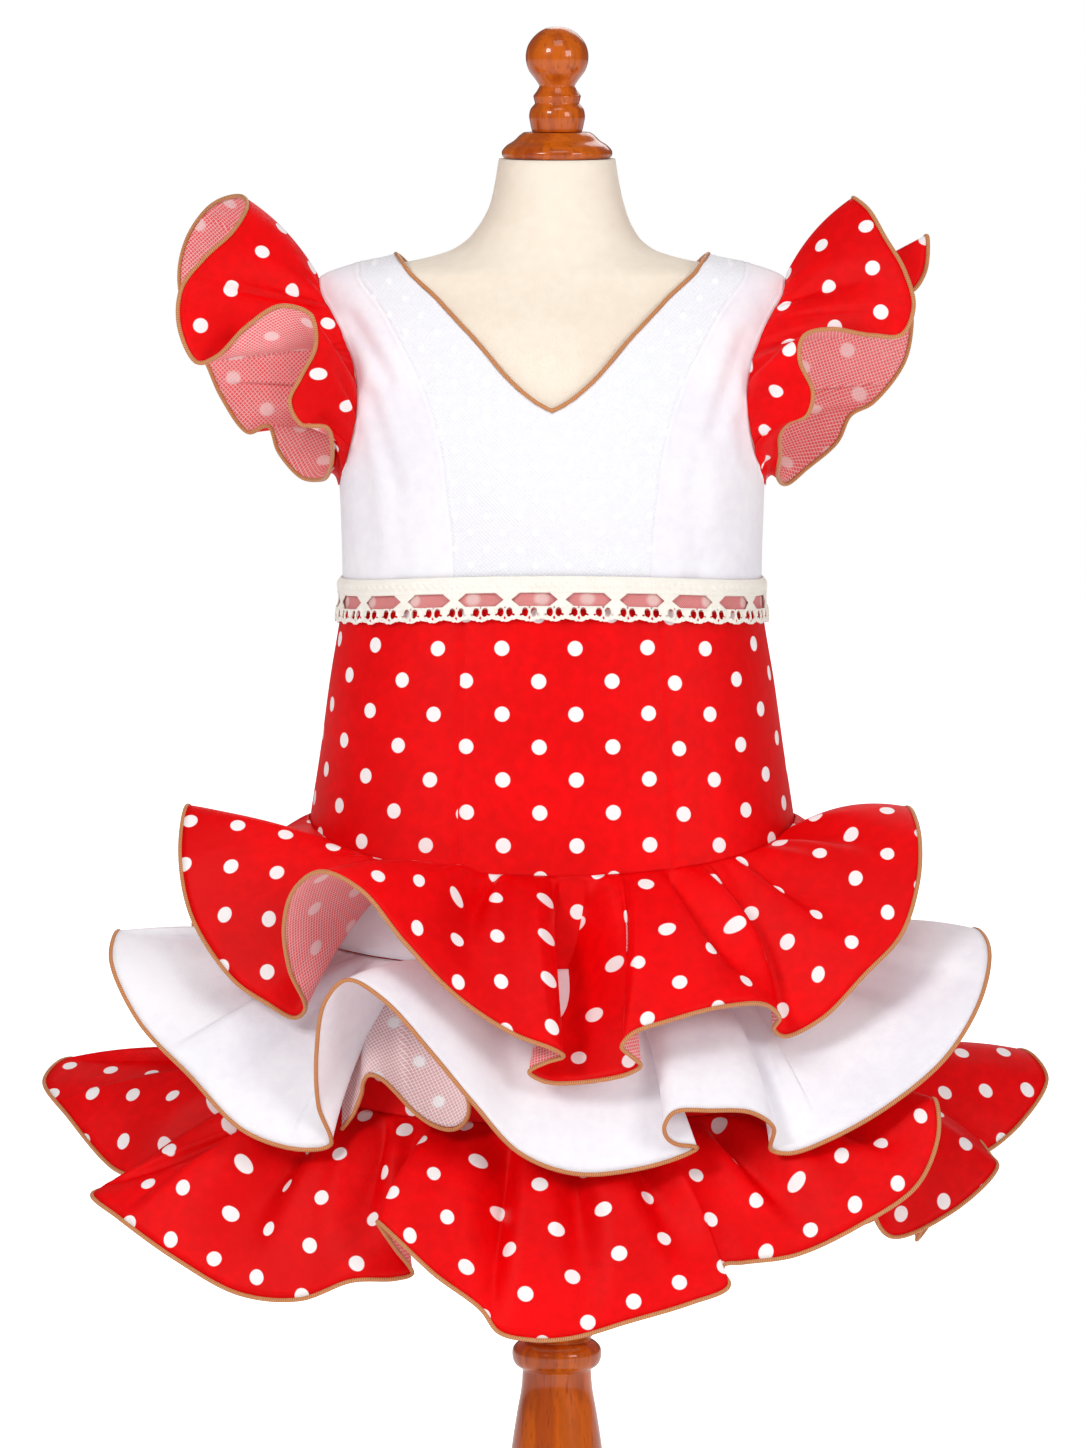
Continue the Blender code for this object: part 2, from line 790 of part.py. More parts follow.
def make_lace(materials, group):
    """Each half has a row of cells: a strip below, a strip above, and a bar between six-sided windows."""
    middle = (WINDOW_LOW + WINDOW_HIGH) / 2
    for name, start in (("lace_front", -90.0), ("lace_back", 90.0)):
        gap = math.degrees(SEAM_GAP / 2 / 95)
        reach = math.radians(180.0 - 2 * gap)
        first = math.radians(start + gap)
        places = []
        faces = []
        for cell in range(WINDOWS_PER_HALF + 1):
            corner = len(places)
            places += [(cell, 0.0), (cell, LACE_HEIGHT)]
            if cell == WINDOWS_PER_HALF:
                break
            low_left, low_right = cell + WINDOW_WIDE, cell + 1 - WINDOW_WIDE
            places += [
                (low_left, 0.0),
                (low_right, 0.0),
                (low_left, LACE_HEIGHT),
                (low_right, LACE_HEIGHT),
                (cell + WINDOW_NARROW, middle),
                (low_left, WINDOW_LOW),
                (low_right, WINDOW_LOW),
                (cell + 1 - WINDOW_NARROW, middle),
                (low_right, WINDOW_HIGH),
                (low_left, WINDOW_HIGH),
            ]
            bottom, top, b1, b2, t1, t2, left, w1, w2, right, w3, w4 = range(corner, corner + 12)
            after = corner + 12
            faces += [(bottom, b1, w1, left), (b1, b2, w2, w1), (b2, after, right, w2)]
            faces += [(left, w4, t1, top), (w4, w3, t2, t1), (w3, right, after + 1, t2)]
            if cell:
                faces.append((bottom, left, top, corner - 3))
            else:
                faces.append((bottom, left, top))
        faces.append((len(places) - 2, len(places) - 1, len(places) - 5))
        places = np.array(places)
        angle = first + reach * places[:, 0] / WINDOWS_PER_HALF
        points = band_point(angle, places[:, 1], LACE_LIFT + LACE_WALL)
        made = mesh_object(name, points, faces, materials["cream_lace"], group)
        add_wall(made, LACE_WALL, -1)


def make_ribbon(materials, group):
    angle = np.arange(RIBBON_COLUMNS)[None, :] * 2 * math.pi / RIBBON_COLUMNS + 0 * np.zeros((2, 1))
    height = np.array((RIBBON_BOTTOM, RIBBON_BOTTOM + RIBBON_HEIGHT))[:, None] + 0 * angle
    points = band_point(angle, height, RIBBON_LIFT + RIBBON_WALL)
    made = mesh_object("ribbon", points, grid_faces(2, RIBBON_COLUMNS, True), materials["pink_ribbon"], group)
    add_wall(made, RIBBON_WALL, -1)


def edge_line(rows, first, back):
    """Points along the free part of an edge, from the given row to the shoulder, on the right half."""
    last = len(rows) - 1
    angle, z = edge_places(rows, np.linspace(first, last, 3 * (last - first) + 1), 0.0)
    angle[-1] = math.pi / 2
    angle = math.pi - angle if back else angle
    middle = bodice_skin(angle, z, NECK_LIFT)
    return middle, bodice_skin(angle, z, NECK_LIFT + 1.0) - middle


def make_neck_piping(materials, group):
    """The cord that binds the neck: up the V's right side, round the back and down its left side."""
    front, front_normal = edge_line(NECK_EDGE, V_POINT_ROW, False)
    back, back_normal = edge_line(BACK_NECK_EDGE, BACK_NECK_ROW, True)
    right = np.concatenate((front[:-1], back[::-1]))
    normal = np.concatenate((front_normal[:-1], back_normal[::-1]))
    mirrored = np.array((-1.0, 1.0, 1.0))
    ring = np.concatenate((right, (right * mirrored)[::-1][1:-1]))
    normal = np.concatenate((normal, (normal * mirrored)[::-1][1:-1]))
    along = np.roll(ring, -1, axis=0) - np.roll(ring, 1, axis=0)
    inward = np.cross(normal, along)
    inward /= np.linalg.norm(inward, axis=1, keepdims=True)
    ring = ring + inward * (PIPING_RADIUS + NECK_GAP)
    piping("neck_piping", ring, materials["gold_piping"], group)


def seen_to_real(across, height, depth_y):
    """The real place of what the eye sees at (across, height) on the plane y = 0 and lies at this depth."""
    plane = np.stack((across, 0 * across, height), axis=-1)
    share = (depth_y - EYE[1]) / -EYE[1]
    return EYE + (plane - EYE) * share[:, None]


def through_turns(seam, hem, count):
    """Seam places and hem points, evenly along a smooth closed curve through the turns."""
    seam_step = seam[-1] + (seam[0] - seam[-1]) % (2 * math.pi)
    reach = 3
    wrapped_seam = np.concatenate((seam[-reach:] - seam_step + seam[0], seam, seam[:reach] + seam_step - seam[0]))
    wrapped_hem = np.concatenate((hem[-reach:], hem, hem[:reach]))
    chord = np.sqrt(np.linalg.norm(np.diff(wrapped_hem, axis=0), axis=1))
    knots = np.concatenate(((0.0,), np.cumsum(chord)))
    start, end = knots[reach], knots[reach + len(hem)]
    wanted = start + (end - start) * np.arange(count) / count
    return smooth_at(knots, wrapped_seam, wanted), smooth_at(knots, wrapped_hem, wanted)


def ruffle_points(seam, hem, depth, bow_most, rows):
    """Rows of points from the seam to the hem. Where the hem lies nearer than the cut depth, the cloth bows out."""
    way = hem - seam
    chord = np.linalg.norm(way, axis=1)
    way = way / chord[:, None]
    bow = np.minimum(np.sqrt(0.375 * chord * np.maximum(depth - chord, 0.0)), bow_most)
    centre = seam.mean(axis=0)
    out = seam - centre
    out[:, 2] = 0.5 * np.linalg.norm(out, axis=1)
    out -= (out * way).sum(axis=1)[:, None] * way
    out /= np.linalg.norm(out, axis=1)[:, None]
    share = np.linspace(0, 1, rows + 1)[:, None, None]
    return seam + share * (hem - seam) + 4 * share * (1 - share) * (bow[:, None] * out)


def tier_seam(tier, angle):
    """The seam on the skirt: level at the side, lower at the front and a little at the back."""
    side_z, front_dip, back_dip = tier[1:4]
    z = side_z - front_dip * np.maximum(np.cos(angle), 0) ** DIP_POWER
    z = z - back_dip * np.maximum(-np.cos(angle), 0) ** DIP_POWER
    return skirt_skin(angle, z, SEAM_LIFT)


def back_turns(tier, first, last):
    """Turns of the hidden back folds, from the right side round to the left side."""
    depth, folds, middle_lean, sway = tier[4:]
    count = folds * STEPS_PER_BACK_FOLD
    share = (np.arange(count) + 0.5) / count
    angle = first + (last - first) * share
    phase = 2 * math.pi * (share * folds - 0.25)
    lean = np.radians(middle_lean + sway * np.sin(phase))
    heading = angle + math.radians(BACK_SWING) * np.cos(phase)
    seam = tier_seam(tier, angle)
    out = np.stack((np.sin(heading), -np.cos(heading), 0 * heading), axis=-1)
    hem = seam + depth * BACK_REACH * np.sin(lean)[:, None] * out
    hem[:, 2] -= depth * BACK_REACH * np.cos(lean)
    return angle, hem


def tier_lines(tier, count):
    """Seam points and hem points of one hem ruffle."""
    rows = TIER_TURNS[tier[0]]
    angle = np.radians(column(rows, TURN_COLUMNS, "seam_deg"))
    hem = seen_to_real(*(column(rows, TURN_COLUMNS, name) for name in TURN_COLUMNS[1:]))
    behind, behind_hem = back_turns(tier, angle[-1], angle[0] + 2 * math.pi)
    angle, hem = through_turns(np.concatenate((angle, behind)), np.concatenate((hem, behind_hem)), count)
    return tier_seam(tier, angle), hem


def hem_cord(points, wall_rows):
    """The piping's middle line, just past the hem along the cloth."""
    along = np.roll(points, -1, axis=0) - np.roll(points, 1, axis=0)
    along /= np.linalg.norm(along, axis=1)[:, None]
    way = wall_rows[-1] - wall_rows[-2]
    way -= (way * along).sum(axis=1)[:, None] * along
    way /= np.linalg.norm(way, axis=1)[:, None]
    return points + way * (PIPING_RADIUS + HEM_GAP)


def make_tiers(materials, group):
    colours = {"tier1": "red_satin", "tier2": "white_cotton", "tier3": "red_satin"}
    for tier in TIERS:
        seam, hem = tier_lines(tier, TIER_HEM_POINTS)
        points = ruffle_points(seam, hem, tier[4], TIER_BOW_MOST, TIER_ROWS)
        faces = grid_faces(TIER_ROWS + 1, TIER_HEM_POINTS, True)
        made = mesh_object(f"{tier[0]}_ruffle", points[::-1], faces, materials[colours[tier[0]]], group)
        add_wall(made, CLOTH, 0)
        piping(f"{tier[0]}_piping", hem_cord(hem, points), materials["gold_piping"], group)


def armhole(side, places):
    """Points round an armhole: 0 at the shoulder, 1 under the arm, 2 at the shoulder by the back."""
    last = len(ARM_EDGE) - 1
    angle, z = edge_places(ARM_EDGE, np.linspace(UNDERARM_ROW, last, 3 * (last - UNDERARM_ROW) + 1), 0.0)
    front = bodice_skin(angle[::-1], z[::-1], SEAM_LIFT)
    back = bodice_skin(math.pi - angle[1:], z[1:], SEAM_LIFT)
    ring = np.concatenate((front, back))
    length = np.concatenate(((0.0,), np.cumsum(np.linalg.norm(np.diff(ring, axis=0), axis=1))))
    middle = length[len(front) - 1]
    round_place = np.where(length < middle, length / middle, 1 + (length - middle) / (length[-1] - middle))
    ring[:, 0] *= side
    return smooth_at(round_place, ring, places % 2.0)


def sleeve_lines(side, rows, count):
    """Seam points on the armhole and hem points of one sleeve ruffle."""
    place = column(rows, SLEEVE_COLUMNS, "round_armhole") * math.pi
    hem = seen_to_real(*(column(rows, SLEEVE_COLUMNS, name) for name in SLEEVE_COLUMNS[1:]))
    place, hem = through_turns(place, hem, count)
    return armhole(side, place / math.pi), hem


def make_sleeves(materials, group):
    for letter, side, rows in (("L", -1, SLEEVE_LEFT_TURNS), ("R", 1, SLEEVE_RIGHT_TURNS)):
        seam, hem = sleeve_lines(side, rows, SLEEVE_HEM_POINTS)
        points = ruffle_points(seam, hem, SLEEVE_DEPTH, SLEEVE_BOW_MOST, SLEEVE_ROWS)
        faces = grid_faces(SLEEVE_ROWS + 1, SLEEVE_HEM_POINTS, True)
        made = mesh_object(f"sleeve_ruffle_{letter}", points, faces, materials["red_satin"], group)
        add_wall(made, CLOTH, 0)
        piping(f"sleeve_piping_{letter}", hem_cord(hem, points), materials["gold_piping"], group)


def shift_dress(group):
    """Everything made so far moves sideways with one empty."""
    place = bpy.data.objects.new("dress_place", None)
    for made in [made for made in group.objects if made.parent is None]:
        made.parent = place
    group.objects.link(place)
    place.location = (DRESS_SHIFT * MM, 0.0, 0.0)


def make_stand(materials, group):
    wood = materials["varnished_wood"]
    turned("finial", FINIAL_PROFILE, COLUMN_STEPS, wood, group)
    turned("neck_cap", NECK_CAP_PROFILE, COLUMN_STEPS, wood, group)
    turned("stand_column", COLUMN_PROFILE, COLUMN_STEPS, wood, group)
    turned("stand_base", BASE_PROFILE, BASE_STEPS, wood, group)


def plate(name, outline, hole, thick, material, group):
    """A flat plate: an outline and a hole in its local XZ plane, extruded along its local Y."""
    curve = bpy.data.curves.new(name, "CURVE")
    curve.dimensions = "2D"
    curve.fill_mode = "BOTH"
    curve.extrude = thick * MM / 2
    for loop in (outline, hole):
        spline = curve.splines.new("POLY")
        spline.points.add(len(loop) - 1)
        for point, (u, v) in zip(spline.points, loop):
            point.co = (u * MM, v * MM, 0.0, 1.0)
        spline.use_cyclic_u = True
    curve.materials.append(material)
    made = bpy.data.objects.new(name, curve)
    group.objects.link(made)
    return made


def make_zip(materials, group):
    """The slider lies on the centre back seam and its arch holds the pull tab's top bar."""
    metal = materials["white_metal"]
    place = bodice_skin(np.array(math.pi), np.array(ZIP_Z), 0.0)
    above = bodice_skin(np.array(math.pi), np.array(ZIP_Z + 4.0), 0.0)
    below = bodice_skin(np.array(math.pi), np.array(ZIP_Z - 4.0), 0.0)
    tilt = math.atan2(below[1] - above[1], above[2] - below[2])
    seat = bpy.data.objects.new("zip_seat", None)
    group.objects.link(seat)
    seat.location = (0.0, place[1] * MM, place[2] * MM)
    seat.rotation_euler = (tilt, 0.0, 0.0)
    along, cavity = ARCH_INSIDE
    low = 0.5 + SLIDER_THICK
    high = low + cavity
    half = along / 2
    outer = half + ARCH_WALL
    side_view = (
        (-SLIDER_LENGTH / 2, 0.5),
        (SLIDER_LENGTH / 2, 0.5),
        (SLIDER_LENGTH / 2, low),
        (outer, low),
        (outer, high),
        (half, high + ARCH_WALL),
        (-half, high + ARCH_WALL),
        (-outer, high),
        (-outer, low),
        (-SLIDER_LENGTH / 2, low),
    )
    inside = ((-half, low + 0.2), (half, low + 0.2), (half, high), (-half, high))
    slider = plate("zip_slider", side_view, inside, ARCH_WIDTH, metal, group)
    slider.parent = seat
    slider.rotation_euler = (0.0, -math.pi / 2, 0.0)
    pivot_out = low + 0.2 + (cavity - 0.2) / 2
    hinge = bpy.data.objects.new("zip_hinge", None)
    group.objects.link(hinge)
    hinge.parent = seat
    hinge.location = (0.0, pivot_out * MM, 0.0)
    top = PULL_BAR / 2
    hole_wide, hole_long = PULL_HOLE
    wide = PULL_WIDTH / 2
    round_end = [
        (wide * math.sin(math.radians(a)), -(PULL_LENGTH - wide) - wide * math.cos(math.radians(a)))
        for a in range(-90, 91, 30)
    ]
    outline = [(-1.9, top), (-1.9, -hole_long), *round_end, (1.9, -hole_long), (1.9, top)]
    hole = [(-hole_wide / 2, -top), (-hole_wide / 2, -hole_long), (hole_wide / 2, -hole_long), (hole_wide / 2, -top)]
    pull = plate("zip_pull", outline, hole, PULL_THICK, metal, group)
    pull.parent = hinge
    pull.rotation_euler = (math.pi / 2, 0.0, 0.0)


def main():
    clear_scene()
    materials = make_materials()
    group = collection("flamenco_dress_on_form")
    make_form(materials, group)
    make_bodice(materials, group)
    make_skirt(materials, group)
    make_lace(materials, group)
    make_ribbon(materials, group)
    make_neck_piping(materials, group)
    make_sleeves(materials, group)
    make_tiers(materials, group)
    make_zip(materials, group)
    shift_dress(group)
    make_stand(materials, group)


main()
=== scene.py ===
"""The looks of a girl's flamenco dress, worn by a limbless child's dress form on a turned wooden stand.

Tables and sizes are in millimetres, and meshes are made in metres, +Z up, with the front facing -Y.
An angle on the form or the skirt runs from the front towards +X. The cloth's UV map, named "cut", holds metres
on the flat cut, so that dots and weave follow the cloth.
"""

from __future__ import annotations

import json
import logging
import math
from dataclasses import dataclass, field
from enum import Enum

import bpy
import numpy as np
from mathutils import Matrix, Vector

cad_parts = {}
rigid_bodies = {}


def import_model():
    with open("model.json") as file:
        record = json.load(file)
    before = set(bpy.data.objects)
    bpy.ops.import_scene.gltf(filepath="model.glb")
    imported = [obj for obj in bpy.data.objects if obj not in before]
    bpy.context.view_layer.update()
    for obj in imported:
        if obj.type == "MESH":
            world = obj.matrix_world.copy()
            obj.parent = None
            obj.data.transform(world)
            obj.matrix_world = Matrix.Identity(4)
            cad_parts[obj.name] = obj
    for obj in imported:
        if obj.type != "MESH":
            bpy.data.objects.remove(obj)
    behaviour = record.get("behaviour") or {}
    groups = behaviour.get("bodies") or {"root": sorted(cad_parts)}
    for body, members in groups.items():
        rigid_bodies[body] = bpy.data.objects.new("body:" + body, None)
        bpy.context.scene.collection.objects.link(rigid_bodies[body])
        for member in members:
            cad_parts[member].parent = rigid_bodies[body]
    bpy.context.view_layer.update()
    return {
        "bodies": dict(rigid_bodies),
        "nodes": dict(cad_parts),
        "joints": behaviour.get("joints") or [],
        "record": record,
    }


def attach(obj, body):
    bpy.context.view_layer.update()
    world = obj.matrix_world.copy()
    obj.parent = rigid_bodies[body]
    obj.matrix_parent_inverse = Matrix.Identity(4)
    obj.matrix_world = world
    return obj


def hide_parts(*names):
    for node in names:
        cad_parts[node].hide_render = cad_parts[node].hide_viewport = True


MM = 0.001
BODY = "dressed_form"

# The dress and its form stand a little to the left of the wood
DRESS_SHIFT = -2.6

# The eye that the ruffle tables are seen from, in the dress's own place
EYE = np.array((0.0, -4200.0, 1037.0))

Array = np.ndarray
Rows = tuple[tuple[float, ...], ...]

log = logging.getLogger("dress")


class Side(Enum):
    """Which half of the dress a piece is on, as the factor on its across coordinate."""

    LEFT = -1
    RIGHT = 1


class Facing(Enum):
    """Whether a bodice panel lies on the front or the back."""

    FRONT = "front"
    BACK = "back"


# Curves and meshes


def smooth_at(knots: Array, values: Array, wanted: Array) -> Array:
    """Reads a smooth curve through values at knots: cubic pieces with the slopes weighted from both sides.

    Args:
        knots: Rising places of the values.
        values: One number or one point for each knot.
        wanted: Places at which the curve is read.

    Returns:
        The curve's values at the wanted places.
    """
    knots = np.asarray(knots, float)
    values = np.asarray(values, float)
    wanted = np.clip(wanted, knots[0], knots[-1])
    steps = np.diff(knots)
    slopes = np.diff(values, axis=0) / (steps if values.ndim == 1 else steps[:, None])
    share = steps[1:] / (steps[:-1] + steps[1:])
    share = share if values.ndim == 1 else share[:, None]
    middle = slopes[:-1] * share + slopes[1:] * (1 - share)
    tangents = np.concatenate((slopes[:1], middle, slopes[-1:]))
    place = np.clip(np.searchsorted(knots, wanted, side="right") - 1, 0, len(steps) - 1)
    span = steps[place]
    t = (wanted - knots[place]) / span
    if values.ndim > 1:
        t = t[..., None]
        span = span[..., None]
    return (
        (2 * t**3 - 3 * t**2 + 1) * values[place]
        + (t**3 - 2 * t**2 + t) * span * tangents[place]
        + (3 * t**2 - 2 * t**3) * values[place + 1]
        + (t**3 - t**2) * span * tangents[place + 1]
    )


def unit(vectors: Array) -> Array:
    """Vectors scaled to a length of one."""
    return vectors / np.maximum(np.linalg.norm(vectors, axis=-1, keepdims=True), 1e-9)


def path_length(points: Array) -> Array:
    """Length along a path up to each of its points."""
    steps = np.linalg.norm(np.diff(points, axis=0), axis=-1)
    return np.concatenate((np.zeros((1, *steps.shape[1:])), np.cumsum(steps, axis=0)))


def wobble(place: Array, waves: float, seed: int) -> Array:
    """An uneven wave between about -1 and 1: a sine of the given count with slow changes of phase and height.

    Args:
        place: Place along the piece, from 0 to 1. It closes on itself.
        waves: How many waves there are from 0 to 1.
        seed: Picks the phases.

    Returns:
        The wave's height at each place.
    """
    phases = np.random.default_rng(seed).uniform(0, 2 * math.pi, 6)
    turn = 2 * math.pi * place
    phase = 1.3 * np.sin(3 * turn + phases[0]) + 1.1 * np.sin(7 * turn + phases[1])
    height = 0.7 + 0.3 * np.sin(5 * turn + phases[2]) * np.sin(11 * turn + phases[3])
    return height * np.sin(waves * turn + phase + phases[4])


def new_object(
    name: str, points: Array, faces: Array, uv: Array | None, finish: bpy.types.Material
) -> bpy.types.Object:
    """Makes a smooth-shaded object from points in millimetres, moved to the dress's place by the caller.

    Args:
        name: The object's name.
        points: Places, one row each.
        faces: Four point numbers for each face.
        uv: Metres on the flat cut for each face corner, or None.
        finish: Its first material.

    Returns:
        The object, linked to the scene.
    """
    used, faces = np.unique(faces, return_inverse=True)
    faces = faces.reshape(-1, 4)
    mesh = bpy.data.meshes.new(name)
    mesh.from_pydata((points[used] * MM).tolist(), [], faces.tolist())
    if uv is not None:
        mesh.uv_layers.new(name="cut").data.foreach_set("uv", uv.astype(np.float32).ravel())
    mesh.shade_smooth()
    mesh.materials.append(finish)
    made = bpy.data.objects.new(name, mesh)
    bpy.context.scene.collection.objects.link(made)
    return made


def surface(
    name: str,
    points: Array,
    finish: bpy.types.Material,
    uv: Array | None = None,
    closed: bool = False,
    keep: Array | None = None,
) -> bpy.types.Object:
    """Joins a grid of points into quads.

    Args:
        name: The object's name.
        points: Rows by columns of places in millimetres. They face the front when rows rise and columns
            go towards +X.
        finish: Its material.
        uv: Rows by columns of millimetres on the flat cut, with one more column than the points when closed.
        closed: Whether the last column joins the first.
        keep: For each face of the grid, whether it stays. All stay when it is None.

    Returns:
        The object.
    """
    rows, columns = points.shape[:2]
    row = np.arange(rows - 1)[:, None]
    place = np.arange(columns if closed else columns - 1)[None, :]
    beside = (place + 1) % columns
    corners = np.stack(
        (
            row * columns + place,
            row * columns + beside,
            (row + 1) * columns + beside,
            (row + 1) * columns + place,
        ),
        axis=-1,
    )
    wanted = np.ones(corners.shape[:2], bool) if keep is None else keep
    flat = None
    if uv is not None:
        corner_uv = np.stack(
            (
                uv[:-1, : place.size],
                uv[:-1, 1 : place.size + 1],
                uv[1:, 1 : place.size + 1],
                uv[1:, : place.size],
            ),
            axis=2,
        )
        flat = corner_uv[wanted] * MM
    return new_object(name, points.reshape(-1, 3), corners[wanted], flat, finish)


def add_wall(
    piece: bpy.types.Object, thickness: float, offset: float, inside: bpy.types.Material | None
) -> None:
    """Gives a sheet its thickness, with its inner side in another material when one is given.

    Args:
        piece: The sheet.
        thickness: The wall in millimetres.
        offset: -1 puts the wall inside the sheet and 0 on both sides.
        inside: The inner side's material.
    """
    wall = piece.modifiers.new("wall", "SOLIDIFY")
    wall.thickness = thickness * MM
    wall.offset = offset
    if inside is not None:
        piece.data.materials.append(inside)
        wall.material_offset = 1


def into_place(points: Array) -> Array:
    """Moves points of the dress or its form to where they stand beside the wood."""
    return points + np.array((DRESS_SHIFT, 0.0, 0.0))


def tube(
    name: str, path: Array, side: Array, radius: float, finish: bpy.types.Material, closed: bool = True
) -> bpy.types.Object:
    """A round cord: a circle of points round each place of its path, in the plane of side and its normal.

    Args:
        name: The object's name.
        path: The cord's middle line.
        side: A direction square to the path at each place, which turns smoothly.
        radius: The cord's radius.
        finish: Its material.
        closed: Whether the path closes on itself. An open cord gets rounded ends.

    Returns:
        The object.
    """
    radius = np.full(len(path), radius)
    along = unit(np.roll(path, -1, axis=0) - np.roll(path, 1, axis=0))
    if not closed:
        along = unit(np.gradient(path, axis=0))
        ends = (along, side)
        along, side = (np.concatenate((part[:1], part[:1], part, part[-1:], part[-1:])) for part in ends)
        rounding = 0.7
        tip = rounding * radius[0] * along
        start = (path[:1] - tip[:1], path[:1] - tip[:1] * rounding)
        end = (path[-1:] + tip[-1:] * rounding, path[-1:] + tip[-1:])
        path = np.concatenate((*start, path, *end))
        radius = np.concatenate(((0.0, rounding * radius[0]), radius, (rounding * radius[0], 0.0)))
    side = unit(side - (side * along).sum(axis=1, keepdims=True) * along)
    other = np.cross(along, side)
    around = 10
    turn = (np.arange(around) / around * 2 * math.pi)[:, None, None]
    points = path[None] + radius[:, None] * (np.cos(turn) * side[None] + np.sin(turn) * other[None])
    points = np.concatenate((points, points[:1]))
    run = path_length(np.concatenate((path, path[:1])) if closed else path)
    arc = np.linspace(0, 2 * math.pi * radius.max(), around + 1)
    uv = np.stack(np.broadcast_arrays(arc[:, None], run[None, :]), axis=-1)
    made = surface(name, into_place(points[::-1]), finish, uv[::-1], closed=closed)
    weld = made.modifiers.new("closed seam", "WELD")
    weld.merge_threshold = 0.00002
    return made


# Shaders


def linear(code: str) -> tuple[float, float, float, float]:
    """A screen colour as a hexadecimal code, turned to the linear values that shaders use."""
    parts = [int(code[place : place + 2], 16) / 255 for place in (0, 2, 4)]
    red, green, blue = (part / 12.92 if part <= 0.04045 else ((part + 0.055) / 1.055) ** 2.4 for part in parts)
    return red, green, blue, 1.0


@dataclass
class Wiring:
    """Adds nodes to one node tree and joins them.

    Attributes:
        tree: The node tree that is filled.
    """

    tree: bpy.types.NodeTree

    def node(self, kind: str, **settings: object) -> bpy.types.Node:
        """A new node with the given settings."""
        made = self.tree.nodes.new(kind)
        for name, value in settings.items():
            setattr(made, name, value)
        return made

    def put(self, socket: bpy.types.NodeSocket, value: object) -> None:
        """Joins another socket to this one, or sets its value."""
        if isinstance(value, bpy.types.NodeSocket):
            self.tree.links.new(value, socket)
        else:
            socket.default_value = value

    def math(
        self, operation: str, first: object, second: object = 0.0, third: object = 0.0
    ) -> bpy.types.NodeSocket:
        """The result of one step of arithmetic."""
        made = self.node("ShaderNodeMath", operation=operation)
        for socket, value in zip(made.inputs, (first, second, third)):
            self.put(socket, value)
        return made.outputs[0]

    def mix(self, share: object, first: object, second: object) -> bpy.types.NodeSocket:
        """A colour between two colours."""
        made = self.node("ShaderNodeMix", data_type="RGBA")
        for socket, value in zip((made.inputs[0], made.inputs[6], made.inputs[7]), (share, first, second)):
            self.put(socket, value)
        return made.outputs[2]

    def noise(self, vector: object, scale: float, detail: float = 3.0) -> bpy.types.NodeSocket:
        """Smooth noise between 0 and 1."""
        made = self.node("ShaderNodeTexNoise")
        self.put(made.inputs["Vector"], vector)
        made.inputs["Scale"].default_value = scale
        made.inputs["Detail"].default_value = detail
        return made.outputs[0]

    def split(self, vector: bpy.types.NodeSocket) -> tuple[bpy.types.NodeSocket, bpy.types.NodeSocket]:
        """The first two coordinates of a vector."""
        made = self.node("ShaderNodeSeparateXYZ")
        self.put(made.inputs[0], vector)
        return made.outputs[0], made.outputs[1]

    def step(self, value: object, low: float, high: float) -> bpy.types.NodeSocket:
        """Rises smoothly from 0 at low to 1 at high."""
        made = self.node("ShaderNodeMapRange", interpolation_type="SMOOTHSTEP")
        self.put(made.inputs["Value"], value)
        made.inputs["From Min"].default_value = low
        made.inputs["From Max"].default_value = high
        return made.outputs[0]

    def bump(
        self, height: object, distance: float, strength: float = 1.0, normal: object = None
    ) -> bpy.types.NodeSocket:
        """A normal from a height, in metres of distance."""
        made = self.node("ShaderNodeBump")
        made.inputs["Strength"].default_value = strength
        made.inputs["Distance"].default_value = distance
        self.put(made.inputs["Height"], height)
        if normal is not None:
            self.put(made.inputs["Normal"], normal)
        return made.outputs[0]

    def group(self, tree: bpy.types.NodeTree, **values: object) -> bpy.types.Node:
        """A node group with its inputs set by name, spaces in a name written as underscores."""
        made = self.node("ShaderNodeGroup", node_tree=tree)
        for name, value in values.items():
            self.put(made.inputs[name.replace("_", " ")], value)
        return made

    def uv(self) -> bpy.types.NodeSocket:
        """The piece's own flat cut."""
        return self.node("ShaderNodeUVMap", uv_map="cut").outputs[0]

    def place(self) -> bpy.types.NodeSocket:
        """Object coordinates."""
        return self.node("ShaderNodeTexCoord").outputs["Object"]


def new_group(
    name: str, inputs: dict[str, str], outputs: dict[str, str]
) -> tuple[Wiring, bpy.types.Node, bpy.types.Node]:
    """An empty shader node group with named sockets.

    Args:
        name: The group's name.
        inputs: Socket name to "Vector", "Float" or "Color".
        outputs: The same for what it gives.

    Returns:
        The wiring of its tree, its input node and its output node.
    """
    tree = bpy.data.node_groups.new(name, "ShaderNodeTree")
    for way, sockets in (("INPUT", inputs), ("OUTPUT", outputs)):
        for socket, kind in sockets.items():
            tree.interface.new_socket(socket, in_out=way, socket_type=f"NodeSocket{kind}")
    wiring = Wiring(tree)
    return wiring, wiring.node("NodeGroupInput"), wiring.node("NodeGroupOutput")


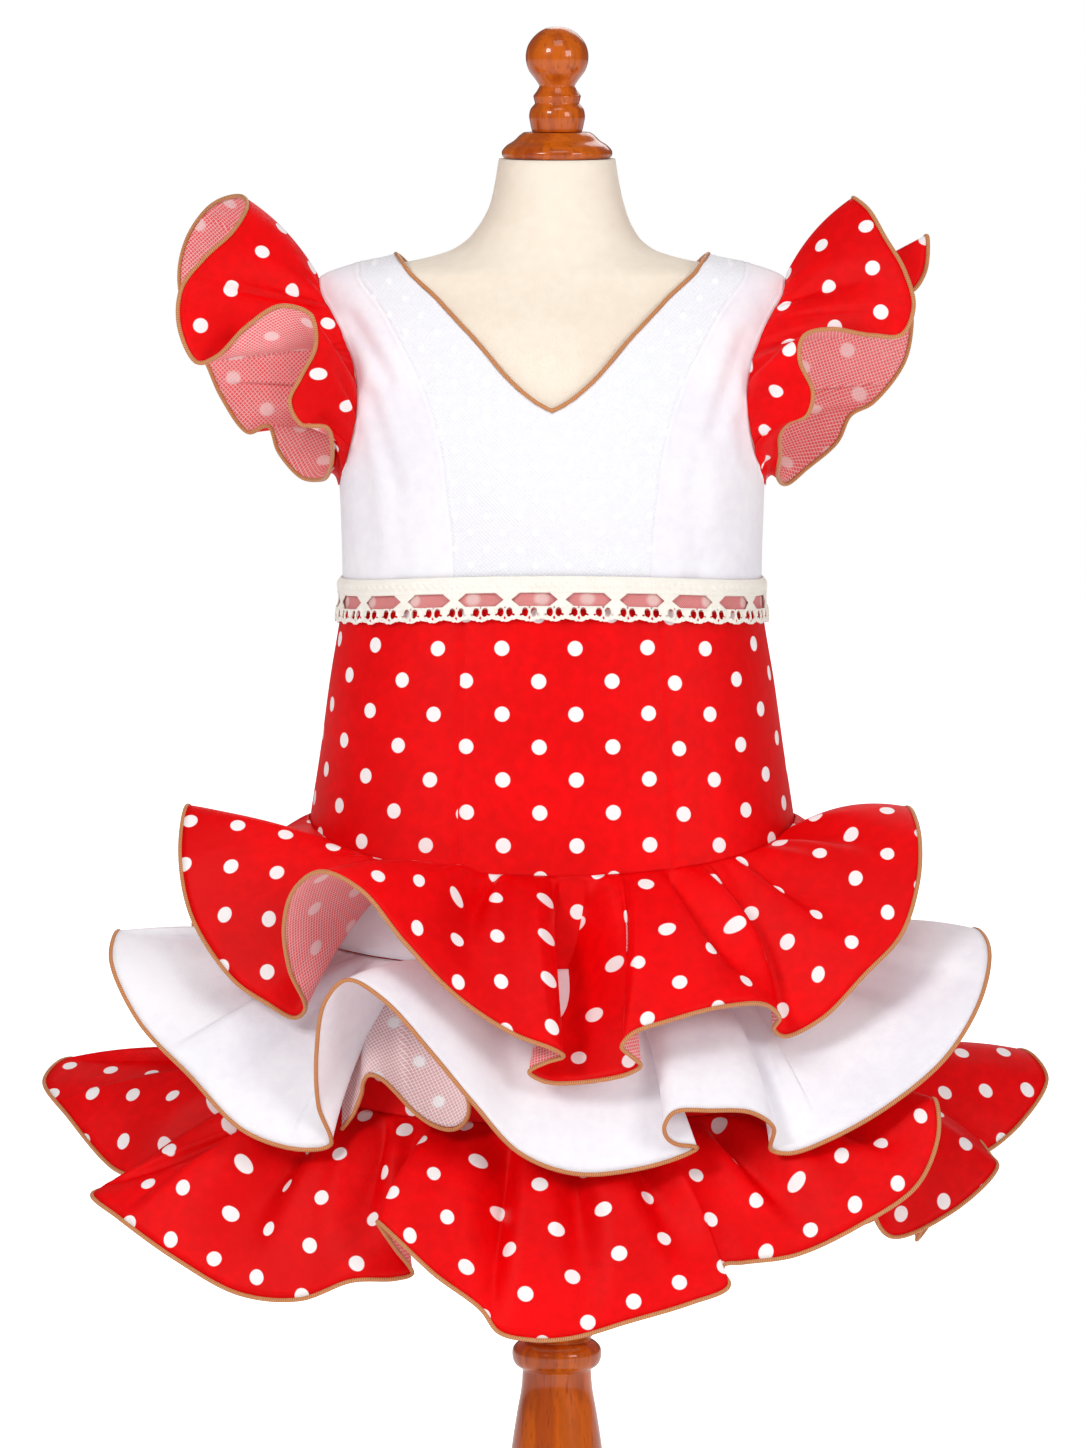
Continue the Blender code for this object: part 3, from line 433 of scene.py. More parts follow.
@dataclass
class SharedEffects:
    """Shader node groups that several finishes use."""

    dots: bpy.types.NodeTree = field(init=False)
    weave: bpy.types.NodeTree = field(init=False)
    net: bpy.types.NodeTree = field(init=False)
    mottle: bpy.types.NodeTree = field(init=False)

    def __post_init__(self) -> None:
        """Builds each group once."""
        self.dots = self._dots()
        self.weave = self._weave()
        self.net = self._net()
        self.mottle = self._mottle()

    def _dots(self) -> bpy.types.NodeTree:
        """Round dots in rows, every second row moved by half a column: 1 within the nearest one's radius."""
        wiring, given, result = new_group(
            "round_dots",
            {"Vector": "Vector", "Column": "Float", "Row": "Float", "Radius": "Float", "Blur": "Float"},
            {"Mask": "Float"},
        )
        across, along = wiring.split(given.outputs["Vector"])
        row = wiring.math("DIVIDE", along, given.outputs["Row"])
        row = wiring.math("ADD", row, 0.5)
        moved = wiring.math("MULTIPLY", wiring.math("FLOORED_MODULO", wiring.math("FLOOR", row), 2.0), 0.5)
        column = wiring.math("ADD", wiring.math("DIVIDE", across, given.outputs["Column"]), moved)
        column = wiring.math("ADD", column, 0.5)
        off_row = wiring.math("SUBTRACT", wiring.math("FRACT", row), 0.5)
        off_column = wiring.math("SUBTRACT", wiring.math("FRACT", column), 0.5)
        off_row = wiring.math("MULTIPLY", off_row, given.outputs["Row"])
        off_column = wiring.math("MULTIPLY", off_column, given.outputs["Column"])
        square = wiring.math("ADD", wiring.math("POWER", off_row, 2.0), wiring.math("POWER", off_column, 2.0))
        distance = wiring.math("SQRT", square)
        inside = wiring.math("SUBTRACT", given.outputs["Radius"], distance)
        mask = wiring.math("DIVIDE", inside, given.outputs["Blur"])
        mask = wiring.math("ADD", mask, 0.5)
        clamp = wiring.node("ShaderNodeClamp")
        wiring.put(clamp.inputs[0], mask)
        wiring.put(result.inputs["Mask"], clamp.outputs[0])
        return wiring.tree

    def _weave(self) -> bpy.types.NodeTree:
        """Plain weave: the product of a wave across and a wave along, lifted to 0 to 1, with uneven threads."""
        wiring, given, result = new_group(
            "plain_weave", {"Vector": "Vector", "Thread": "Float"}, {"Height": "Float", "Shade": "Float"}
        )
        across, along = wiring.split(given.outputs["Vector"])
        waves = []
        for part in (across, along):
            turn = wiring.math("MULTIPLY", wiring.math("DIVIDE", part, given.outputs["Thread"]), math.pi)
            waves.append(wiring.math("SINE", turn))
        height = wiring.math("MULTIPLY_ADD", wiring.math("MULTIPLY", waves[0], waves[1]), 0.5, 0.5)
        uneven = wiring.noise(given.outputs["Vector"], 900.0, 2.0)
        wiring.put(result.inputs["Height"], wiring.math("ADD", height, uneven))
        rough = wiring.math("MULTIPLY", uneven, 0.7)
        wiring.put(result.inputs["Shade"], wiring.math("MULTIPLY_ADD", height, 0.3, rough))
        return wiring.tree

    def _net(self) -> bpy.types.NodeTree:
        """Fine net: threads that cross on the bias, 1 on a thread and 0 in a hole."""
        sockets = {"Vector": "Vector", "Mesh": "Float"}
        wiring, given, result = new_group("fine_net", sockets, {"Thread": "Float"})
        across, along = wiring.split(given.outputs["Vector"])
        threads = []
        for operation in ("ADD", "SUBTRACT"):
            lean = wiring.math("DIVIDE", wiring.math(operation, across, along), given.outputs["Mesh"])
            threads.append(wiring.math("ABSOLUTE", wiring.math("SINE", wiring.math("MULTIPLY", lean, math.pi))))
        hole = wiring.math("MINIMUM", threads[0], threads[1])
        wiring.put(result.inputs["Thread"], wiring.math("SUBTRACT", 1.0, wiring.step(hole, 0.12, 0.5)))
        return wiring.tree

    def _mottle(self) -> bpy.types.NodeTree:
        """Slow uneven tone: two sizes of noise added and spread around one half."""
        wiring, given, result = new_group("uneven_tone", {"Vector": "Vector"}, {"Tone": "Float"})
        broad = wiring.noise(given.outputs["Vector"], 14.0, 2.0)
        fine = wiring.noise(given.outputs["Vector"], 160.0, 3.0)
        fine_part = wiring.math("MULTIPLY", fine, 0.35)
        wiring.put(result.inputs["Tone"], wiring.math("MULTIPLY_ADD", broad, 0.65, fine_part))
        return wiring.tree


@dataclass(frozen=True)
class Shine:
    """The values of a shader that are the same all over a piece."""

    roughness: float = 0.8
    specular: float = 0.3
    sheen: float = 0.0
    coat: float = 0.0
    coat_roughness: float = 0.1
    metallic: float = 0.0
    through: float = 0.0

    def shader(self, wiring: Wiring) -> bpy.types.Node:
        """The tree's Principled shader, with these values on its own sockets."""
        shader = wiring.tree.nodes["Principled BSDF"]
        shader.inputs["Roughness"].default_value = self.roughness
        shader.inputs["Specular IOR Level"].default_value = self.specular
        shader.inputs["Sheen Weight"].default_value = self.sheen
        shader.inputs["Coat Weight"].default_value = self.coat
        shader.inputs["Coat Roughness"].default_value = self.coat_roughness
        shader.inputs["Metallic"].default_value = self.metallic
        shader.inputs["Subsurface Weight"].default_value = self.through
        shader.inputs["Subsurface Scale"].default_value = 0.004
        return shader


def new_finish(name: str, shine: Shine) -> tuple[bpy.types.Material, Wiring, bpy.types.Node]:
    """A material with its wiring and its Principled shader."""
    made = bpy.data.materials.new(name)
    made.use_nodes = True
    wiring = Wiring(made.node_tree)
    return made, wiring, shine.shader(wiring)


@dataclass(frozen=True)
class DotPattern:
    """Sizes of the printed dots, in metres."""

    column: float = 0.0384
    row: float = 0.017
    radius: float = 0.0039
    blur: float = 0.0004

    def mask(self, wiring: Wiring, effects: SharedEffects) -> bpy.types.NodeSocket:
        """1 on a dot and 0 between dots."""
        made = wiring.group(
            effects.dots,
            Vector=wiring.uv(),
            Column=self.column,
            Row=self.row,
            Radius=self.radius,
            Blur=self.blur,
        )
        return made.outputs["Mask"]


@dataclass(frozen=True)
class DottedSatin:
    """Red satin cotton with white dots: the print, a fine weave and a soft gloss."""

    name: str = "red_dotted_satin"
    cloth: str = "F60006"
    shade: str = "DC0003"
    dot: str = "FBF6F6"
    pattern: DotPattern = DotPattern()
    shine: Shine = Shine(roughness=0.45, specular=0.1)

    def build(self, effects: SharedEffects) -> bpy.types.Material:
        """Makes the material."""
        made, wiring, shader = new_finish(self.name, self.shine)
        mask = self.pattern.mask(wiring, effects)
        tone = wiring.group(effects.mottle, Vector=wiring.place()).outputs["Tone"]
        weave = wiring.group(effects.weave, Vector=wiring.uv(), Thread=0.00045)
        red = wiring.mix(wiring.step(tone, 0.35, 0.7), linear(self.shade), linear(self.cloth))
        red = wiring.mix(wiring.math("MULTIPLY", weave.outputs["Shade"], 0.1), red, linear("FF1014"))
        wiring.put(shader.inputs["Base Color"], wiring.mix(mask, red, linear(self.dot)))
        wiring.put(shader.inputs["Roughness"], wiring.math("MULTIPLY_ADD", tone, 0.16, 0.38))
        fine = wiring.bump(weave.outputs["Height"], 0.00012, 0.5)
        wiring.put(shader.inputs["Normal"], wiring.bump(tone, 0.0016, 0.35, fine))
        return made


@dataclass(frozen=True)
class NetLining:
    """The underside of a red ruffle: fine pale net over the red cloth, with the dots faint behind it."""

    name: str = "pink_net_lining"
    cloth: str = "F02C34"
    thread: str = "FFE6E6"
    dot: str = "FFF2F2"
    pattern: DotPattern = DotPattern(blur=0.0012)
    shine: Shine = Shine(roughness=0.85, specular=0.15)

    def build(self, effects: SharedEffects) -> bpy.types.Material:
        """Makes the material."""
        made, wiring, shader = new_finish(self.name, self.shine)
        mask = self.pattern.mask(wiring, effects)
        net = wiring.group(effects.net, Vector=wiring.uv(), Mesh=0.0024).outputs["Thread"]
        tone = wiring.group(effects.mottle, Vector=wiring.place()).outputs["Tone"]
        under = wiring.mix(wiring.math("MULTIPLY", mask, 0.6), linear(self.cloth), linear(self.dot))
        share = wiring.math("MULTIPLY_ADD", net, 0.66, wiring.math("MULTIPLY", tone, 0.3))
        wiring.put(shader.inputs["Base Color"], wiring.mix(share, under, linear(self.thread)))
        wiring.put(shader.inputs["Normal"], wiring.bump(net, 0.0003, 0.5))
        return made


@dataclass(frozen=True)
class WhiteCotton:
    """Plain white cotton with a hint of lilac in places, laid at random by noise."""

    name: str = "white_cotton"
    cloth: str = "F7F5FA"
    shade: str = "EDE9F3"
    thread: float = 0.0005
    shine: Shine = Shine(roughness=0.82, specular=0.2, sheen=0.1)

    def build(self, effects: SharedEffects) -> bpy.types.Material:
        """Makes the material."""
        made, wiring, shader = new_finish(self.name, self.shine)
        tone = wiring.group(effects.mottle, Vector=wiring.place()).outputs["Tone"]
        weave = wiring.group(effects.weave, Vector=wiring.uv(), Thread=self.thread)
        base = wiring.mix(wiring.step(tone, 0.3, 0.65), linear(self.shade), linear(self.cloth))
        base = wiring.mix(wiring.math("MULTIPLY", weave.outputs["Shade"], 0.25), base, linear("FFFFFF"))
        wiring.put(shader.inputs["Base Color"], base)
        wiring.put(shader.inputs["Roughness"], wiring.math("MULTIPLY_ADD", tone, 0.12, 0.76))
        fine = wiring.bump(weave.outputs["Height"], 0.00014, 0.5)
        wiring.put(shader.inputs["Normal"], wiring.bump(tone, 0.0012, 0.3, fine))
        return made


@dataclass(frozen=True)
class DottedMuslin:
    """White muslin of an open weave, with small tufts in rows."""

    name: str = "dotted_muslin"
    cloth: str = "EDEDF3"
    thread: str = "F6F6FA"
    tuft: str = "FCFCFE"
    pattern: DotPattern = DotPattern(column=0.0172, row=0.0086, radius=0.0016, blur=0.0012)
    shine: Shine = Shine(roughness=0.9, specular=0.15, sheen=0.15)

    def build(self, effects: SharedEffects) -> bpy.types.Material:
        """Makes the material."""
        made, wiring, shader = new_finish(self.name, self.shine)
        mask = self.pattern.mask(wiring, effects)
        weave = wiring.group(effects.weave, Vector=wiring.uv(), Thread=0.0011)
        tone = wiring.group(effects.mottle, Vector=wiring.place()).outputs["Tone"]
        ground = wiring.mix(weave.outputs["Shade"], linear(self.cloth), linear(self.thread))
        ground = wiring.mix(wiring.math("MULTIPLY", tone, 0.2), ground, linear("E6E4EE"))
        wiring.put(shader.inputs["Base Color"], wiring.mix(mask, ground, linear(self.tuft)))
        fine = wiring.bump(weave.outputs["Height"], 0.0003, 0.7)
        fluff = wiring.math("MULTIPLY_ADD", wiring.noise(wiring.uv(), 2500.0), 0.6, 0.7)
        fuzz = wiring.math("MULTIPLY", mask, fluff)
        wiring.put(shader.inputs["Normal"], wiring.bump(fuzz, 0.0003, 0.6, fine))
        return made


@dataclass(frozen=True)
class EyeletLace:
    """Cream cotton lace: dense stitches that run up and down, with painted shade in the low parts of their relief."""

    name: str = "cream_lace"
    cloth: str = "FFFDF6"
    # Darker cream: painted shade where the stitch relief is low, and random tone
    hollow: str = "F1E9DA"
    shine: Shine = Shine(roughness=0.85, specular=0.2, sheen=0.15)

    def build(self, effects: SharedEffects) -> bpy.types.Material:
        """Makes the material."""
        made, wiring, shader = new_finish(self.name, self.shine)
        across, along = wiring.split(wiring.uv())
        stitch = wiring.math("SINE", wiring.math("MULTIPLY", across, 2 * math.pi / 0.0007))
        uneven = wiring.noise(wiring.uv(), 1500.0)
        height = wiring.math("MULTIPLY_ADD", stitch, 0.25, uneven)
        tone = wiring.group(effects.mottle, Vector=wiring.place()).outputs["Tone"]
        # Painted shade: the colour goes darker where the stitch relief is low, and varies at random with the tone
        raised = wiring.math("MULTIPLY", height, 0.4)
        share = wiring.step(wiring.math("MULTIPLY_ADD", tone, 0.6, raised), 0.2, 0.7)
        wiring.put(shader.inputs["Base Color"], wiring.mix(share, linear(self.hollow), linear(self.cloth)))
        wiring.put(shader.inputs["Normal"], wiring.bump(height, 0.0003, 0.7))
        return made


@dataclass(frozen=True)
class SheerRibbon:
    """Dusty pink ribbon of fine net, with the dots under it showing faintly through."""

    name: str = "pink_ribbon"
    cloth: str = "DD6F70"
    thread: str = "F0B4B0"
    dot: str = "FBE9E4"
    pattern: DotPattern = DotPattern(column=0.031, row=0.012, radius=0.0032, blur=0.002)
    shine: Shine = Shine(roughness=0.5, specular=0.35)

    def build(self, effects: SharedEffects) -> bpy.types.Material:
        """Makes the material."""
        made, wiring, shader = new_finish(self.name, self.shine)
        net = wiring.group(effects.net, Vector=wiring.uv(), Mesh=0.0013).outputs["Thread"]
        tone = wiring.group(effects.mottle, Vector=wiring.place()).outputs["Tone"]
        share = wiring.math("MULTIPLY_ADD", net, 0.55, wiring.math("MULTIPLY", tone, 0.35))
        sheer = wiring.mix(share, linear(self.cloth), linear(self.thread))
        mask = wiring.math("MULTIPLY", self.pattern.mask(wiring, effects), 0.55)
        wiring.put(shader.inputs["Base Color"], wiring.mix(mask, sheer, linear(self.dot)))
        wiring.put(shader.inputs["Normal"], wiring.bump(net, 0.0003, 0.6))
        return made


@dataclass(frozen=True)
class TwistedCord:
    """Tan satin cord: strands that wind round it, with painted shade where they meet."""

    name: str = "gold_piping"
    strand: str = "D8925A"
    # Darker tan: painted shade in the grooves between the strands
    groove_shade: str = "9E5628"
    pitch: float = 0.0024
    strands: int = 2
    radius: float = 0.00135
    shine: Shine = Shine(roughness=0.42, specular=0.4, sheen=0.15)

    def build(self, effects: SharedEffects) -> bpy.types.Material:
        """Makes the material."""
        made, wiring, shader = new_finish(self.name, self.shine)
        around, along = wiring.split(wiring.uv())
        turn = wiring.math("MULTIPLY", around, self.strands / (2 * math.pi * self.radius))
        lean = wiring.math("ADD", turn, wiring.math("DIVIDE", along, self.pitch / self.strands))
        ridge = wiring.math("ABSOLUTE", wiring.math("SINE", wiring.math("MULTIPLY", lean, math.pi)))
        tone = wiring.group(effects.mottle, Vector=wiring.place()).outputs["Tone"]
        # Painted shade: the colour goes to the darker groove colour where the strands meet and is lighter on their
        # ridges, with some random tone
        raised = wiring.step(ridge, 0.1, 0.7)
        share = wiring.math("MULTIPLY_ADD", raised, 0.8, wiring.math("MULTIPLY", tone, 0.3))
        wiring.put(shader.inputs["Base Color"], wiring.mix(share, linear(self.groove_shade), linear(self.strand)))
        wiring.put(shader.inputs["Normal"], wiring.bump(ridge, 0.0003, 0.7))
        return made


@dataclass(frozen=True)
class SheerNet:
    """White net with soft dots, so open that what lies behind it shows through its holes."""

    name: str = "white_net"
    hollow: str = "F6C9CB"
    thread: str = "FFF6F6"
    dot: str = "FFFFFF"
    pattern: DotPattern = DotPattern(column=0.034, row=0.017, radius=0.0034, blur=0.0014)
    shine: Shine = Shine(roughness=0.7, specular=0.2)

    def build(self, effects: SharedEffects) -> bpy.types.Material:
        """Makes the material."""
        made, wiring, shader = new_finish(self.name, self.shine)
        mask = self.pattern.mask(wiring, effects)
        net = wiring.group(effects.net, Vector=wiring.uv(), Mesh=0.0024).outputs["Thread"]
        tone = wiring.group(effects.mottle, Vector=wiring.place()).outputs["Tone"]
        sheer = wiring.mix(net, linear(self.hollow), linear(self.thread))
        wiring.put(shader.inputs["Base Color"], wiring.mix(mask, sheer, linear(self.dot)))
        cover = wiring.math("MULTIPLY_ADD", net, 0.35, wiring.math("MULTIPLY_ADD", tone, 0.3, 0.6))
        wiring.put(shader.inputs["Alpha"], wiring.math("MAXIMUM", cover, wiring.math("MULTIPLY", mask, 0.95)))
        wiring.put(shader.inputs["Normal"], wiring.bump(net, 0.0003, 0.5))
        return made


@dataclass(frozen=True)
class KnitJersey:
    """Cream jersey stretched over the form: fine ribs with a painted highlight on the raised knit, and a slightly
    warmer tone in places.
    """

    name: str = "cream_jersey"
    cloth: str = "F7EBDA"
    shade: str = "EFDFCB"
    shine: Shine = Shine(roughness=0.9, specular=0.15, sheen=0.2)

    def build(self, effects: SharedEffects) -> bpy.types.Material:
        """Makes the material."""
        made, wiring, shader = new_finish(self.name, self.shine)
        across, along = wiring.split(wiring.uv())
        rib = wiring.math("SINE", wiring.math("MULTIPLY", across, 2 * math.pi / 0.0011))
        loop = wiring.math("SINE", wiring.math("MULTIPLY", along, 2 * math.pi / 0.0009))
        height = wiring.math("MULTIPLY_ADD", wiring.math("MULTIPLY", rib, loop), 0.5, 0.5)
        tone = wiring.group(effects.mottle, Vector=wiring.place()).outputs["Tone"]
        base = wiring.mix(wiring.step(tone, 0.3, 0.7), linear(self.shade), linear(self.cloth))
        # Painted highlight: the colour goes lighter where the knit is raised
        base = wiring.mix(wiring.math("MULTIPLY", height, 0.15), base, linear("FFFAF2"))
        wiring.put(shader.inputs["Base Color"], base)
        wiring.put(shader.inputs["Normal"], wiring.bump(height, 0.00018, 0.5))
        return made


@dataclass(frozen=True)
class VarnishedWood:
    """Turned wood with long dark pores and rings, under a gloss varnish."""

    name: str = "varnished_wood"
    light: str = "D26400"
    middle: str = "B04600"
    dark: str = "702200"
    shine: Shine = Shine(roughness=0.35, specular=0.2, coat=0.8, coat_roughness=0.04)

    def build(self, effects: SharedEffects) -> bpy.types.Material:
        """Makes the material."""
        made, wiring, shader = new_finish(self.name, self.shine)
        long_grain = wiring.node("ShaderNodeMapping")
        wiring.put(long_grain.inputs["Vector"], wiring.place())
        long_grain.inputs["Scale"].default_value = (1.0, 1.0, 0.07)
        band = wiring.noise(long_grain.outputs[0], 55.0, 4.0)
        pores = wiring.noise(long_grain.outputs[0], 700.0, 2.0)
        rings = wiring.math("MULTIPLY_ADD", wiring.math("SINE", wiring.math("MULTIPLY", band, 42.0)), 0.5, 0.5)
        base = wiring.mix(wiring.step(band, 0.32, 0.68), linear(self.middle), linear(self.light))
        base = wiring.mix(wiring.math("MULTIPLY", rings, 0.28), base, linear(self.dark))
        in_pores = wiring.math("MULTIPLY", wiring.step(pores, 0.56, 0.75), 0.55)
        base = wiring.mix(in_pores, base, linear(self.dark))
        wiring.put(shader.inputs["Base Color"], base)
        wiring.put(shader.inputs["Roughness"], wiring.math("MULTIPLY_ADD", pores, 0.2, 0.25))
        wiring.put(shader.inputs["Normal"], wiring.bump(pores, 0.0002, 0.25))
        return made


@dataclass(frozen=True)
class Enamel:
    """White enamel on the zip's metal, a little worn."""

    name: str = "white_enamel"
    paint: str = "F2F1F3"
    worn: str = "BDBBBE"
    shine: Shine = Shine(roughness=0.35, specular=0.5, coat=0.3)

    def build(self, effects: SharedEffects) -> bpy.types.Material:
        """Makes the material."""
        made, wiring, shader = new_finish(self.name, self.shine)
        wear = wiring.noise(wiring.place(), 1400.0, 4.0)
        wiring.put(
            shader.inputs["Base Color"],
            wiring.mix(wiring.step(wear, 0.55, 0.75), linear(self.paint), linear(self.worn)),
        )
        wiring.put(shader.inputs["Roughness"], wiring.math("MULTIPLY_ADD", wear, 0.3, 0.2))
        wiring.put(shader.inputs["Normal"], wiring.bump(wear, 0.0001, 0.3))
        return made


@dataclass
class Finishes:
    """Every material of the dress, its form and its stand."""

    satin: bpy.types.Material = field(init=False)
    lining: bpy.types.Material = field(init=False)
    cotton: bpy.types.Material = field(init=False)
    muslin: bpy.types.Material = field(init=False)
    lace: bpy.types.Material = field(init=False)
    ribbon: bpy.types.Material = field(init=False)
    cord: bpy.types.Material = field(init=False)
    net: bpy.types.Material = field(init=False)
    jersey: bpy.types.Material = field(init=False)
    wood: bpy.types.Material = field(init=False)
    enamel: bpy.types.Material = field(init=False)

    def __post_init__(self) -> None:
        """Builds the shared groups and then each material."""
        effects = SharedEffects()
        self.satin = DottedSatin().build(effects)
        self.lining = NetLining().build(effects)
        self.cotton = WhiteCotton().build(effects)
        self.muslin = DottedMuslin().build(effects)
        self.lace = EyeletLace().build(effects)
        self.ribbon = SheerRibbon().build(effects)
        self.cord = TwistedCord().build(effects)
        self.net = SheerNet().build(effects)
        self.jersey = KnitJersey().build(effects)
        self.wood = VarnishedWood().build(effects)
        self.enamel = Enamel().build(effects)


@dataclass(frozen=True)
class Cut:
    """The flat cut of one cloth piece, in metres, and how it is held."""

    width: float
    length: float
    held: str = "stretched"
    area: float | None = None


def hand_over(
    piece: bpy.types.Object,
    nodes: tuple[str, ...],
) -> None:
    """Puts a piece on the dressed form's body and hides the CAD nodes that it stands for.

    Args:
        piece: The finished piece.
        nodes: CAD nodes that it stands for, or none where it has no solid.
    """
    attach(piece, BODY)
    if nodes:
        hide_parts(*nodes)
    log.info("%s stands for %s", piece.name, ", ".join(nodes) or "no solid")


# The form under the dress


@dataclass
class FormShape:
    """The dress form's skin and the bodice's ease on it, from level sections.

    Attributes:
        sections: Rows of z, half_width, half_depth, ease.
        squareness: How much squarer than an ellipse a level section is.
    """

    sections: Rows = (
        (374.0, 96.0, 74.0, 8.0),
        (420.0, 106.0, 81.0, 6.0),
        (480.0, 112.0, 85.0, 5.0),
        (540.0, 113.0, 84.0, 4.0),
        (600.0, 110.0, 77.0, 3.0),
        (640.0, 107.5, 71.5, 2.0),
        (670.0, 107.5, 71.5, 2.0),
        (702.0, 108.2, 73.5, 2.2),
        (735.0, 110.0, 72.0, 2.0),
        (760.0, 113.0, 68.0, 1.8),
        (785.0, 118.0, 60.0, 1.5),
        (800.0, 121.0, 53.0, 1.2),
        (810.0, 122.8, 46.5, 1.0),
        (815.0, 122.8, 43.0, 0.8),
        (819.0, 121.0, 40.5, 0.7),
        (821.5, 117.5, 39.0, 0.7),
        (823.8, 110.0, 37.8, 1.1),
        (825.5, 100.0, 36.8, 2.3),
        (827.2, 88.0, 35.8, 3.2),
        (828.5, 78.0, 35.0, 4.2),
        (831.0, 66.0, 33.6, 4.4),
        (834.0, 56.0, 32.4, 4.4),
        (839.0, 47.5, 31.2, 4.4),
        (846.0, 41.5, 30.2, 4.4),
        (857.0, 36.0, 29.4, 4.4),
        (870.0, 32.8, 28.8, 4.4),
        (883.0, 30.7, 28.2, 4.4),
    )
    squareness: float = 0.09
    cloth: float = 1.2

    def half_sizes(self, z: Array) -> tuple[Array, Array]:
        """Half width and half depth of the section at height z, read smoothly from the table."""
        table = np.array(self.sections)
        return smooth_at(table[:, 0], table[:, 1], z), smooth_at(table[:, 0], table[:, 2], z)

    def level(self, angle: Array, z: Array) -> Array:
        """A point on the section: half sizes times sine and cosine, pushed out a little between the axes."""
        width, depth = self.half_sizes(z)
        x = width * np.sin(angle) * (1 + self.squareness * np.cos(angle) ** 2)
        y = -depth * np.cos(angle) * (1 + self.squareness * np.sin(angle) ** 2)
        return np.stack((x, y, z + 0 * angle), axis=-1)

    def skin(self, angle: Array, z: Array, lift: Array) -> Array:
        """A point moved from the surface by the lift along its normal, the cross product of two short steps."""
        angle, z = np.broadcast_arrays(np.asarray(angle, float), np.asarray(z, float))
        round_way = self.level(angle + 0.01, z) - self.level(angle - 0.01, z)
        up_way = self.level(angle, z + 0.4) - self.level(angle, z - 0.4)
        normal = unit(np.cross(round_way, up_way))
        return self.level(angle, z) + normal * np.asarray(lift)[..., None]

    def bodice(self, angle: Array, z: Array, lift: Array) -> Array:
        """The bodice's outer side: the skin with the ease and the cloth on it."""
        table = np.array(self.sections)
        ease = smooth_at(table[:, 0], table[:, 3], z)
        return self.skin(angle, z, ease + self.cloth + lift)

    def angle_of(self, across: Array, z: Array) -> Array:
        """The angle at which the section at height z is this far from the middle."""
        angles = np.linspace(0, math.pi / 2, 361)
        reach = np.sin(angles) * (1 + self.squareness * np.cos(angles) ** 2)
        width, _ = self.half_sizes(np.asarray(z, float))
        return np.interp(np.asarray(across, float) / width, reach, angles)

    def shoulder_height(self, across: Array) -> Array:
        """The height at which the form's side, on the shoulder, is this far from the middle."""
        heights = np.linspace(816.0, 829.0, 200)
        width, _ = self.half_sizes(heights)
        return np.interp(-across, -width, heights)


@dataclass
class DressForm:
    """The jersey-covered torso and neck."""

    shape: FormShape
    around: int = 120
    levels: int = 150
    neck_bend: tuple[float, float] = (829.5, 858.0)

    def build(self, finishes: Finishes) -> None:
        """Level rings from the underside to the neck's top, each end closed by rings that shrink."""
        table = np.array(self.shape.sections)
        z = np.interp(np.linspace(0, len(table) - 1, self.levels), np.arange(len(table)), table[:, 0])
        angle = np.linspace(0, 2 * math.pi, self.around, endpoint=False)
        points = self.shape.level(angle[None, :], z[:, None])
        middle = np.array((0.0, 0.0, 1.0))
        shrink = np.array((0.0, 0.5, 0.85, 0.97))[:, None, None]
        bottom = points[:1] * (shrink + (1 - shrink) * middle)
        top = points[-1:] * (shrink[::-1] + (1 - shrink[::-1]) * middle)
        points = np.concatenate((bottom, points, top))
        points[..., 0] -= DRESS_SHIFT * np.interp(points[..., 2], self.neck_bend, (0.0, 1.0))
        run = 110 * np.concatenate((angle, (2 * math.pi,)))
        climb = path_length(points[:, 0])
        uv = np.stack(np.broadcast_arrays(run[None, :], climb[:, None]), axis=-1)
        made = surface("torso_cover", into_place(points), finishes.jersey, uv, closed=True)
        weld = made.modifiers.new("closed ends", "WELD")
        weld.merge_threshold = 0.00005
        hand_over(made, ("form_torso",))


